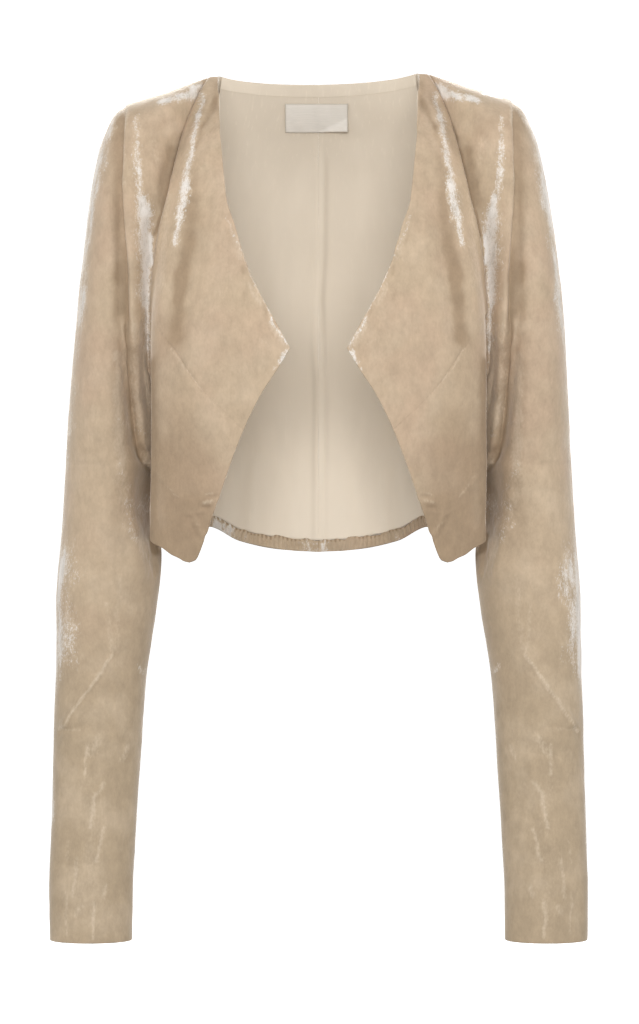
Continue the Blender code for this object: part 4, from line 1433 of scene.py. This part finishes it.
def shell(name, outer, inner, materials, fields):
    """Closed shell between two grids, with named values on both. Its inside has the last material."""
    count, inner_count = outer[..., 0].size, inner[..., 0].size
    index = np.arange(count).reshape(outer.shape[:2])
    inner_index = count + np.arange(inner_count).reshape(inner.shape[:2])
    border = index[tuple(border_indices(*index.shape).T)]
    far = inner_index[tuple(border_indices(*inner_index.shape).T)]
    quads = quads_of(index)
    inner_quads = quads_of(inner_index)[:, ::-1]
    groups = [quads, inner_quads, rim_of(border, far)]
    loops = np.concatenate([faces.reshape(-1) for faces in groups])
    sizes = np.concatenate([np.full(len(faces), faces.shape[1]) for faces in groups])
    mesh = bpy.data.meshes.new(name)
    mesh.vertices.add(count + inner_count)
    mesh.vertices.foreach_set("co", np.concatenate([outer.reshape(-1), inner.reshape(-1)]))
    mesh.loops.add(len(loops))
    mesh.loops.foreach_set("vertex_index", loops.astype(np.int32))
    mesh.polygons.add(len(sizes))
    mesh.polygons.foreach_set("loop_start", (np.cumsum(sizes) - sizes).astype(np.int32))
    mesh.polygons.foreach_set("use_smooth", np.ones(len(sizes), dtype=bool))
    slots = np.zeros(len(sizes), dtype=np.int32)
    slots[len(quads) : len(quads) + len(inner_quads)] = len(materials) - 1
    for cloth in materials:
        mesh.materials.append(cloth)
    mesh.polygons.foreach_set("material_index", slots)
    for field, values in fields.items():
        strength = mesh.attributes.new(field, "FLOAT", "POINT")
        strength.data.foreach_set("value", np.concatenate(values, axis=None).astype(np.float32))
    mesh.update(calc_edges=True)
    mesh.validate()
    return added(name, mesh)


def declared(piece, solid):
    """Attaches the piece to the root body and hides the solid that it stands for."""
    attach(piece, "root")
    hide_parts(solid)


def on_right(points):
    """The points, with those of the left half mirrored onto the right one."""
    made = points.copy()
    made[..., 0] = -np.abs(points[..., 0])
    return made


def stroked(points, normals, strokes, sign):
    """Strength of the strokes of that sign at each point, the same ones on both halves: painted shade or
    sheen, or pale marks.
    """
    drawn = wandering(on_right(points), points)
    total = np.zeros(points.shape[:2])
    for lines, facing in zip(strokes, (-1, 1)):
        chosen = [stroke for stroke in lines if stroke.strength * sign > 0]
        seen = np.clip(STROKE_SIDE + STROKE_FACING * facing * normals[..., 1], 0, 1)
        total += seen * line_relief(drawn, chosen, MM) / MM
    return np.clip(total * sign, 0, STROKE_LIMIT)


def arm_sheen(points, normals):
    """Painted sheen down the outside of a sleeve, placed by the way the cloth faces, in streaks that run down
    the arm.
    """
    strength, facing, reach = [by_height(ARM_SHEEN, name, points) for name in Sheen._fields[1:]]
    drawn = drawn_down(points, SHEEN_DRAWN_OUT)
    streaks = SHEEN_LEAST + SHEEN_STREAKS * value_noise(drawn, SHEEN_CELL, SHEEN_SEED)
    wander = SHEEN_WANDER * value_noise(points, SHEEN_WANDER_CELL, SHEEN_WANDER_SEED)
    across = normals[..., 1] - facing + wander
    is_outside = normals[..., 0] * np.sign(points[..., 0]) > 0
    return strength * streaks * bell(across / reach) * is_outside


# Materials


def set_inputs(tree, made, inputs):
    """Sets a node's inputs to values, or links them to other nodes' outputs."""
    for key, value in inputs.items():
        if isinstance(value, bpy.types.NodeSocket):
            tree.links.new(value, made.inputs[key])
        else:
            made.inputs[key].default_value = value


def node(tree, kind, inputs=None, **settings):
    made = tree.nodes.new(kind)
    for name, value in settings.items():
        setattr(made, name, value)
    set_inputs(tree, made, inputs or {})
    return made


def new_material(name):
    made = bpy.data.materials.new(name)
    made.use_nodes = True
    tree = made.node_tree
    return made, tree, tree.nodes["Principled BSDF"]


def attribute(tree, name):
    return node(tree, "ShaderNodeAttribute", attribute_name=name).outputs["Fac"]


def noise(tree, place, texture):
    """Noise of that many features a metre, drawn out along the axes where stretch is below 1."""
    drawn = node(tree, "ShaderNodeVectorMath", {0: place, 1: texture.stretch}, operation="MULTIPLY")
    inputs = {"Scale": texture.scale, "Detail": texture.detail, "Roughness": NOISE_ROUGHNESS}
    return node(tree, "ShaderNodeTexNoise", {"Vector": drawn.outputs["Vector"]} | inputs).outputs["Fac"]


def textures(tree, table):
    """The place on the object, and the table's noises there."""
    place = node(tree, "ShaderNodeTexCoord").outputs["Object"]
    return place, {name: noise(tree, place, texture) for name, texture in table.items()}


def ramp(tree, value, span):
    """The value brought from one range to the other, eased at both ends."""
    names = ("From Min", "From Max", "To Min", "To Max")
    inputs = {"Value": value} | dict(zip(names, span))
    return node(tree, "ShaderNodeMapRange", inputs, interpolation_type="SMOOTHSTEP").outputs["Result"]


def calc(tree, operation, one, two):
    return node(tree, "ShaderNodeMath", {0: one, 1: two}, operation=operation).outputs["Value"]


def broken_up(tree, value, layer, gain):
    """The value, raised and lowered by a noise about its middle."""
    off_middle = calc(tree, "SUBTRACT", layer, NOISE_MIDDLE)
    return calc(tree, "ADD", value, calc(tree, "MULTIPLY", off_middle, gain))


def joined(tree, layers, weights):
    """Two noises added up by their weights."""
    one, two = [calc(tree, "MULTIPLY", layers[name], weight) for name, weight in weights.items()]
    return calc(tree, "ADD", one, two)


def blend(tree, share, one, two):
    """Colour one, going over to colour two by the share."""
    inputs = {MIX_SHARE: share}
    for key, colour in ((MIX_ONE, one), (MIX_TWO, two)):
        inputs[key] = colour if isinstance(colour, bpy.types.NodeSocket) else (*colour, 1.0)
    return node(tree, "ShaderNodeMix", inputs, data_type="RGBA").outputs[MIX_RESULT]


def bumped(tree, shader, height, bump):
    inputs = {"Height": height, "Strength": bump.strength, "Distance": bump.distance}
    set_inputs(tree, shader, {"Normal": node(tree, "ShaderNodeBump", inputs).outputs["Normal"]})


def woven(tree, place, threads):
    """Height of a plain weave with that many threads a metre each way."""
    inputs = {"Vector": place, "Scale": threads / WAVES}
    ways = [node(tree, "ShaderNodeTexWave", inputs, bands_direction=way).outputs["Fac"] for way in "XZ"]
    return calc(tree, "MULTIPLY", *ways)


def velvet_material():
    """Crushed pile: mottled tan with marks brushed downward, pale marks, painted shade, and painted sheen,
    silver where the pile lies flat to the light, with painted glints.
    """
    made, tree, shader = new_material("velvet_pile")
    _, layers = textures(tree, VELVET_TEXTURES)
    dark, crushed_pile_sheen, ruffled_and_lit, lower_shade = [attribute(tree, name) for name in ("dark", "silver", "pale", "lower_shade")]
    colour = blend(tree, ramp(tree, layers["rosy"], ROSY), TAN, TAN_ROSE)
    colour = blend(tree, lower_shade, colour, TAN_LOWER_SHADE)
    colour = blend(tree, ramp(tree, layers["cloudy"], CLOUDED), colour, TAN_PALE)
    colour = blend(tree, ramp(tree, dark, DARKENED), colour, TAN_DARK)
    feathered = ramp(tree, broken_up(tree, ruffled_and_lit, layers["fibres"], FEATHER_GAIN), FEATHERED)
    feathered = calc(tree, "MULTIPLY", feathered, ramp(tree, ruffled_and_lit, FEATHERED_WHERE))
    colour = blend(tree, feathered, colour, TAN_RUFFLED_LIT)
    anywhere = ramp(tree, crushed_pile_sheen, BRUSHED_WHERE)
    pale = ramp(tree, broken_up(tree, crushed_pile_sheen, layers["brushed"], BRUSHED_GAIN), BRUSHED_PALE)
    colour = blend(tree, calc(tree, "MULTIPLY", pale, anywhere), colour, TAN_PALE)
    nap = NAP_LEVEL
    for name, strength in NAP.items():
        nap = broken_up(tree, nap, layers[name], strength)
    scaled = node(tree, "ShaderNodeVectorMath", {0: colour, "Scale": nap}, operation="SCALE")
    # Painted sheen, silver where the pile lies flat, broken by noise, with painted glints
    broken = calc(tree, "SUBTRACT", joined(tree, layers, BROKEN), BROKEN_LEVEL)
    lit = ramp(tree, calc(tree, "ADD", crushed_pile_sheen, broken), SILVERED)
    sparkle = ramp(tree, layers["glints"], GLINTING)
    silver = calc(tree, "MULTIPLY", calc(tree, "MAXIMUM", lit, sparkle), anywhere)
    shining = blend(tree, ramp(tree, joined(tree, layers, FLAT_PILE), SHINING), SILVER_DARK, SILVER)
    shining = blend(tree, ramp(tree, crushed_pile_sheen, FROSTED), shining, FROST)
    linked = {
        "Base Color": blend(tree, silver, scaled.outputs["Vector"], shining),
        "Roughness": ramp(tree, silver, VELVET_ROUGHNESS),
        "Sheen Weight": ramp(tree, dark, VELVET_SHEEN),
    }
    set_inputs(tree, shader, linked | VELVET_FINISH)
    bumped(tree, shader, joined(tree, layers, PILE_HEIGHT), VELVET_BUMP)
    return made


def lining_material():
    """Matt woven cloth. Its tone says how far it is paler than plain, or darker below 0: the cloth's own
    tone, with painted light and painted shade.
    """
    made, tree, shader = new_material("lining_weave")
    place, layers = textures(tree, LINING_TEXTURES)
    tone = attribute(tree, "tone")
    paler = calc(tree, "ADD", tone, ramp(tree, layers["cloudy"], LINING_CLOUDED))
    colour = blend(tree, paler, LINING_COLOUR, LINING_PALE)
    colour = blend(tree, ramp(tree, layers["slubs"], LINING_SLUBS), colour, LINING_PALE)
    colour = blend(tree, ramp(tree, tone, LINING_SHADED), colour, LINING_SHADE)
    set_inputs(tree, shader, {"Base Color": colour} | LINING_FINISH)
    bumped(tree, shader, woven(tree, place, LINING_THREADS), LINING_BUMP)
    return made


def satin_material():
    """Close satin weave with fine ribs across the label, darker along its stitched edges, where shadow is
    painted.
    """
    made, tree, shader = new_material("label_weave")
    place, layers = textures(tree, SATIN_TEXTURES)
    colour = blend(tree, ramp(tree, layers["ribs"], SATIN_RIBS), SATIN, SATIN_PALE)
    colour = blend(tree, ramp(tree, layers["cloudy"], SATIN_CLOUDED), colour, SATIN_DARK)
    colour = blend(tree, attribute(tree, "dark"), colour, SATIN_EDGE)
    set_inputs(tree, shader, {"Base Color": colour, "Roughness": ramp(tree, layers["ribs"], SATIN_ROUGHNESS)})
    bumped(tree, shader, woven(tree, place, SATIN_THREADS), SATIN_BUMP)
    return made


velvet = velvet_material()
lining_cloth = lining_material()
satin = satin_material()


# The velvet panels. Seams say which borders are sewn: first column, last column, top row, bottom row.
# Strokes and marks are those of a panel's front and those of its back.
Panel = namedtuple("Panel", "build seams sewn_to strokes marks")
FRONT_PILE = ((FRONT_STROKES, []), (FRONT_MARKS, []))
BACK_PILE = (([], BACK_STROKES), ([], BACK_MARKS))
SLEEVE_PILE = ((SLEEVE_FRONT_STROKES, SLEEVE_BACK_STROKES), (SLEEVE_FRONT_MARKS, SLEEVE_BACK_MARKS))
PANELS = {
    "front_upper": Panel(front_upper, (False, True, False, True), ["sleeve"], *FRONT_PILE),
    "front_lower": Panel(front_lower, (False, True, True, False), ["front_upper"], *FRONT_PILE),
    "back": Panel(back, (True, True, False, False), ["sleeve"], *BACK_PILE),
    "sleeve": Panel(sleeve, (True, True, False, False), ["back", "front_upper"], *SLEEVE_PILE),
}
SIDES = ("right", "left")


def seams_of(kind, side):
    first, last, top, bottom = PANELS[kind].seams
    return (first, last, top, bottom) if side == "right" else (last, first, top, bottom)


right_half = {kind: panel.build() for kind, panel in PANELS.items()}
right_half["front_lower"][0] = right_half["front_upper"][-1]
outside = {}
for kind, points in right_half.items():
    for side, points_there in zip(SIDES, (points, mirrored(points))):
        outside[kind + "_" + side] = rumpled(uneven(points_there), seams_of(kind, side))
outside_normals = shared_normals(outside)


def coarser(grid):
    return grid[::INSIDE_STEP, ::INSIDE_STEP]


def panel_relief(kind, side, points, normals):
    """Rise of a panel's outside and inside at its crease or lip, and how far the outside leans outward."""
    if kind == "sleeve":
        rise, lean = shoulder_crease(on_right(points), normals)
        return rise, lowest_near(rise), lean
    if kind == "front_upper":
        rise, lean = raglan_lip(points, border_distances(points)[1 if side == "right" else 0])
        return rise, rise, lean
    flat = np.zeros(points.shape[:2])
    return flat, flat, flat


def panel_pile_and_painted_light(kind, points, normals):
    """Painted light on a panel's outside: painted shade, painted sheen, pale marks of ruffled pile and
    painted light, and painted shade down the sleeves.
    """
    dark, silver = [stroked(points, normals, PANELS[kind].strokes, sign) for sign in (-1, 1)]
    lower_shade = eased((LOWER_SHADE_FROM - points[..., 2]) / LOWER_SHADE_REACH)
    if kind == "sleeve":
        dark = np.clip(dark + crease_shade(on_right(points), normals), 0, STROKE_LIMIT)
        silver = np.clip(silver + arm_sheen(points, normals), 0, SHEEN_LIMIT)
    else:
        lower_shade = np.zeros_like(dark)
    pale = stroked(points, normals, PANELS[kind].marks, 1)
    return {"dark": dark, "silver": silver, "pale": pale, "lower_shade": lower_shade}


def velvet_panel(kind, side):
    """A panel's shell: its outside with the crease or lip, a plainer inside with painted shade along its
    seams, and the painted light on its pile.
    """
    name = kind + "_" + side
    seams = seams_of(kind, side)
    points, normals = edged([outside[name], outside_normals[name]])
    groove = bust_groove(points, side) if kind.startswith("front") else 1.0
    outer_offset, inner_offset = rounding(points, seams, ROLL, VELVET_INSIDE, (1.0, 1.0, groove, groove))
    rise, inner_rise, lean = panel_relief(kind, side, points, normals)
    shift = np.zeros_like(points)
    shift[..., 0] = -lean if side == "right" else lean
    outer = drawn_in(raised(points, normals, outer_offset + rise) + shift, seams)
    inner = coarser(drawn_in(raised(points, normals, inner_offset + inner_rise), seams))
    inside_tone = coarser(seam_shade(points, seams))
    plain = np.zeros_like(inside_tone)
    fields = {field: [value, plain] for field, value in panel_pile_and_painted_light(kind, points, normals).items()}
    fields["tone"] = [np.zeros(points.shape[:2]), inside_tone]
    piece = shell(name + "_cloth", outer, inner, [velvet, lining_cloth], fields)
    declared(piece, name)


for kind in PANELS:
    for side in SIDES:
        velvet_panel(kind, side)


# The back's lining


def at_lines(grid, places, axis):
    """Grid read off at fractional rows (axis 0) or columns (axis 1)."""
    lines = np.moveaxis(grid, axis, 0)
    low = np.clip(np.floor(places).astype(int), 0, len(lines) - 2)
    share = (places - low).reshape(-1, *([1] * (lines.ndim - 1)))
    return np.moveaxis(lines[low] * (1 - share) + lines[low + 1] * share, 0, axis)


def back_at(side, lines, columns):
    """Points and normals of the back's outside at fractional rows and columns."""
    grids = (outside["back_" + side], outside_normals["back_" + side])
    points, normals = [at_lines(at_lines(grid, lines, 0), columns, 1) for grid in grids]
    return points, unit(normals)


def back_lining(side):
    """Half of the lining, with its tuck wandering along the centre, and painted light and shade in its tone.
    Gives its inside and its normals.
    """
    tuck_start = BACK_COLUMNS - TUCK_COLUMNS
    columns = np.linspace(LINING_SIDE_COLUMNS, tuck_start, LINING_COLUMNS, endpoint=False)
    columns = np.append(columns, np.linspace(tuck_start, BACK_COLUMNS, TUCK_LINES))
    if side == "left":
        columns = BACK_COLUMNS - columns[::-1]
    points, normals = back_at(side, np.arange(len(outside["back_" + side]) - BAND_ROWS), columns)
    middle, right_shade, left_shade = [by_height(TUCK, name, points) for name in TuckRow._fields[1:]]
    off = points[..., 0] - MM * middle
    tuck = TUCK_HEIGHT * eased((TUCK_WIDTH / 2 + off) / TUCK_RISE) * eased((TUCK_WIDTH / 2 - off) / TUCK_EDGE)
    tuck_fade = eased((LABEL_TOP - LABEL_HEIGHT - points[..., 2]) / TUCK_FADE)
    ease = EASE_HEIGHT * value_noise(drawn_down(points, EASE_DRAWN_OUT), EASE_CELL, EASE_SEED)
    inner = raised(points, normals, LINING_INSIDE - tuck * tuck_fade - np.abs(ease))
    tone = LINING_TONE + LINING_PAINTED_LIGHT_RIGHT * eased(0.5 + points[..., 0] / LINING_PAINTED_LIGHT_REACH)
    tone = tone + LINING_PAINTED_SHADE_TOP * eased(1 + points[..., 2] / LINING_PAINTED_SHADE_TOP_REACH)
    pale = TUCK_HIGHLIGHT * bell(off / TUCK_HIGHLIGHT_REACH)
    on_right = right_shade * bell((off - TUCK_SHADE_OFF) / TUCK_SHADE_REACH)
    on_left = left_shade * bell((off + TUCK_SHADE_OFF) / TUCK_SHADE_REACH)
    tone = tone + (pale - on_right - on_left) * tuck_fade
    outer = points + normals * LINING_OUTSIDE
    piece = shell("lining_" + side + "_cloth", outer, inner, [lining_cloth], {"tone": [tone, tone]})
    declared(piece, "lining_" + side)
    return inner, normals


lining_halves = [back_lining(side) for side in SIDES]


# The hem's turn-up


def band_puckers(band, share, down, seed):
    """The turn-up's puckers as waves from 0 to 1, how strong each is, and the fine crinkles on them."""
    wander = PUCKER_WANDER * value_noise(band, PUCKER_WANDER_CELL, seed)
    lean = PUCKER_LEAN * (down - 0.5) * value_noise(band, PUCKER_LEAN_CELL, seed + LEAN_SEED)
    waves = 0.5 - 0.5 * np.cos(2 * np.pi * (HEM_PUCKERS * share + wander + lean))
    strength = PUCKER_MEAN + PUCKER_VARIES * value_noise(band, PUCKER_CELL, seed + STRENGTH_SEED)
    crinkle = np.abs(value_noise(drawn_down(band, CRINKLE_DRAWN_OUT), CRINKLE_CELL, seed + CRINKLE_SEED))
    return waves, strength, crinkle


def band_painted_light(band, down, puckers, seed):
    """Painted light on the turn-up: painted sheen in bright spots, painted highlights on the puckers' crests,
    and painted shade in ticks along the top between puckers.
    """
    waves, strength, crinkle = puckers
    spots = [spot.most * bell((band[..., 0] - MM * spot.x) / (MM * spot.reach)) for spot in BAND_BRIGHT]
    silver = sum(spots) * (BRIGHT_LEAST + crinkle)
    ticked = eased(TICK_FROM + TICK_GAIN * value_noise(band, TICK_CELL, seed + TICK_SEED))
    ticks = eased(1 - down / TICK_DOWN) * eased(VALLEY_FROM - VALLEY_GAIN * waves) * ticked
    plain = np.zeros_like(silver)
    values = {
        "dark": TICK_DARK * ticks - BRIGHT_CLEARS * np.clip(silver, 0, 1),
        "silver": silver - TICK_CLEARS * ticks,
        "pale": BAND_PALE * waves * strength - TICK_CLEARS * ticks,
    }
    return {name: [plain, np.clip(value, 0, 1)] for name, value in values.items()}


def hem_band(side):
    """Half of the turn-up, drawn in by its stitching into uneven puckers."""
    seed = BAND_SEEDS[side]
    share = np.linspace(0, 1, HEM_PUCKERS * COLUMNS_PER_PUCKER + 1)
    down = np.linspace(0, 1, BAND_LINES + 1)
    first_column = LINING_SIDE_COLUMNS if side == "right" else 0
    columns = first_column + share * (BACK_COLUMNS - LINING_SIDE_COLUMNS)
    last_line = len(outside["back_" + side]) - 1
    band, normals = back_at(side, last_line - BAND_ROWS * (1 - down), columns)
    profile = np.interp(down, column(PUCKER_PROFILE, "share"), column(PUCKER_PROFILE, "height"))[:, None]
    down = down[:, None]
    puckers = band_puckers(band, share, down, seed)
    waves, strength, crinkle = puckers
    depth = (PUCKER_DEPTH * waves * strength + CRINKLE_DEPTH * crinkle) * profile
    outer = band + normals * BAND_OUTSIDE
    inner = raised(band, normals, BAND_INSIDE - depth)
    inner[..., 2] += BAND_WAVER * value_noise(band, BAND_WAVER_CELL, seed + WAVER_SEED) * (1 - down)
    piece = shell("hem_band_" + side + "_cloth", outer, inner, [velvet], band_painted_light(band, down, puckers, seed))
    declared(piece, "hem_band_" + side)


for side in SIDES:
    hem_band(side)


# The neck facing and the label, laid on the lining across both halves
right_lining, left_lining = lining_halves
lining_points, lining_normals = [
    np.concatenate([right, left[:, 1:]], axis=1) for right, left in zip(right_lining, left_lining)
]
centre_heights = lining_points[:, right_lining[0].shape[1] - 1, 2]


def laid_on_lining(kind, grid, normals, faces, cloth, field, value_at):
    """Trim with all its edges free and one field, the same on both faces."""
    points, normals = edged([grid, normals])
    offsets = rounding(points, (False,) * 4, *faces)
    outer, inner = [raised(points, normals, offset) for offset in offsets]
    piece = shell(kind + "_cloth", outer, inner, [cloth], {field: [value_at(points)] * 2})
    declared(piece, kind)


def facing_tone(points):
    return np.full(points.shape[:2], FACING_TONE)


def label_edge_tone(points):
    return LABEL_EDGE_TONE * eased(1 - np.min(border_distances(points), axis=0) / LABEL_EDGE)


def label_grid():
    """The label's back, resting on the lining, with its lower left corner (as worn) lifting."""
    u = np.linspace(0, 1, LABEL_COLUMNS + 1)
    v = np.linspace(0, 1, LABEL_LINES + 1)[:, None]
    x = LABEL_CENTRE + np.linspace(-LABEL_WIDTH / 2, LABEL_WIDTH / 2, LABEL_COLUMNS + 1)
    heights = np.linspace(LABEL_TOP, LABEL_TOP - LABEL_HEIGHT, LABEL_LINES + 1)
    lines = at_lines(lining_points, np.interp(-heights, -centre_heights, np.arange(len(centre_heights))), 0)
    y = np.array([np.interp(x, line[:, 0], line[:, 1]) for line in lines])
    lift = LABEL_CURL * eased((u + v - CURL_FROM) / CURL_OVER) + LABEL_BOW * np.sin(np.pi * u) * v
    return np.stack(np.broadcast_arrays(x, y - (lift + TRIM_GAP), heights[:, None]), axis=-1)


facing_rows = np.linspace(0, NECK_FACING / (centre_heights[0] - centre_heights[1]), FACING_LINES + 1)
facing, facing_normals = [at_lines(grid, facing_rows, 0) for grid in (lining_points, lining_normals)]
laid_on_lining(
    "neck_facing",
    grid=facing,
    normals=unit(facing_normals),
    faces=(-FACING_GAP, -FACING_GAP - FACING_THICKNESS),
    cloth=lining_cloth,
    field="tone",
    value_at=facing_tone,
)
label = label_grid()
laid_on_lining(
    "label",
    grid=label,
    normals=grid_normals(label),
    faces=(0.0, -TRIM_THICKNESS),
    cloth=satin,
    field="dark",
    value_at=label_edge_tone,
)


# Stage, light and camera


def stage():
    """White floor that curves up into a round wall, far outside every view of the jacket."""
    turn = np.linspace(0, 2 * np.pi, STAGE_SIDES, endpoint=False)
    bend = np.linspace(0, np.pi / 2, STAGE_BENDS)
    curve = STAGE_RADIUS - STAGE_BEND + STAGE_BEND * np.sin(bend)
    radius = np.concatenate([[STAGE_HUB], curve, [STAGE_RADIUS]])
    height = STAGE_FLOOR + np.concatenate([[0.0], STAGE_BEND * (1 - np.cos(bend)), [STAGE_HEIGHT]])
    ring = (radius[:, None] * np.cos(turn), radius[:, None] * np.sin(turn), height[:, None])
    points = np.stack(np.broadcast_arrays(*ring), axis=-1)
    index = np.arange(points.shape[0] * STAGE_SIDES).reshape(points.shape[:2])
    onward = np.roll(index, -1, axis=1)
    quads = np.stack([index[:-1], onward[:-1], onward[1:], index[1:]], axis=-1).reshape(-1, 4)
    mesh = bpy.data.meshes.new("stage")
    mesh.from_pydata(points.reshape(-1, 3).tolist(), [], quads.tolist() + [index[0, ::-1].tolist()])
    mesh.shade_smooth()
    white, tree, shader = new_material("stage_white")
    finish = {
        "Base Color": (*STAGE_COLOUR, 1.0),
        "Roughness": STAGE_ROUGHNESS,
        "Emission Color": (*WHITE, 1.0),
        "Emission Strength": STAGE_GLOW,
    }
    set_inputs(tree, shader, finish)
    mesh.materials.append(white)
    made = added("stage", mesh)
    made.visible_diffuse = False
    made.visible_glossy = False
    made.visible_shadow = False


def soft_light(name, place, aim, size, power):
    lamp = bpy.data.lights.new(name, "AREA")
    lamp.shape = "RECTANGLE"
    lamp.size, lamp.size_y = size
    lamp.energy = power
    made = added(name, lamp)
    made.location = place
    made.rotation_euler = (Vector(aim) - Vector(place)).to_track_quat("-Z", "Y").to_euler()


def camera():
    lens = bpy.data.cameras.new("camera")
    lens.sensor_width = CAMERA_SENSOR
    lens.lens = CAMERA_SENSOR * CAMERA_DISTANCE / CAMERA_FRAME_HEIGHT
    made = added("camera", lens)
    made.location = CAMERA_PLACE
    made.rotation_euler = (np.pi / 2, 0.0, 0.0)
    bpy.context.scene.camera = made


stage()
for light in LIGHTS:
    soft_light(*light)
world = bpy.data.worlds.new("world")
world.use_nodes = True
background = world.node_tree.nodes["Background"]
set_inputs(world.node_tree, background, {"Color": (*WHITE, 1.0), "Strength": WORLD_LIGHT})
bpy.context.scene.world = world
bpy.context.scene.view_settings.view_transform = "Standard"
camera()
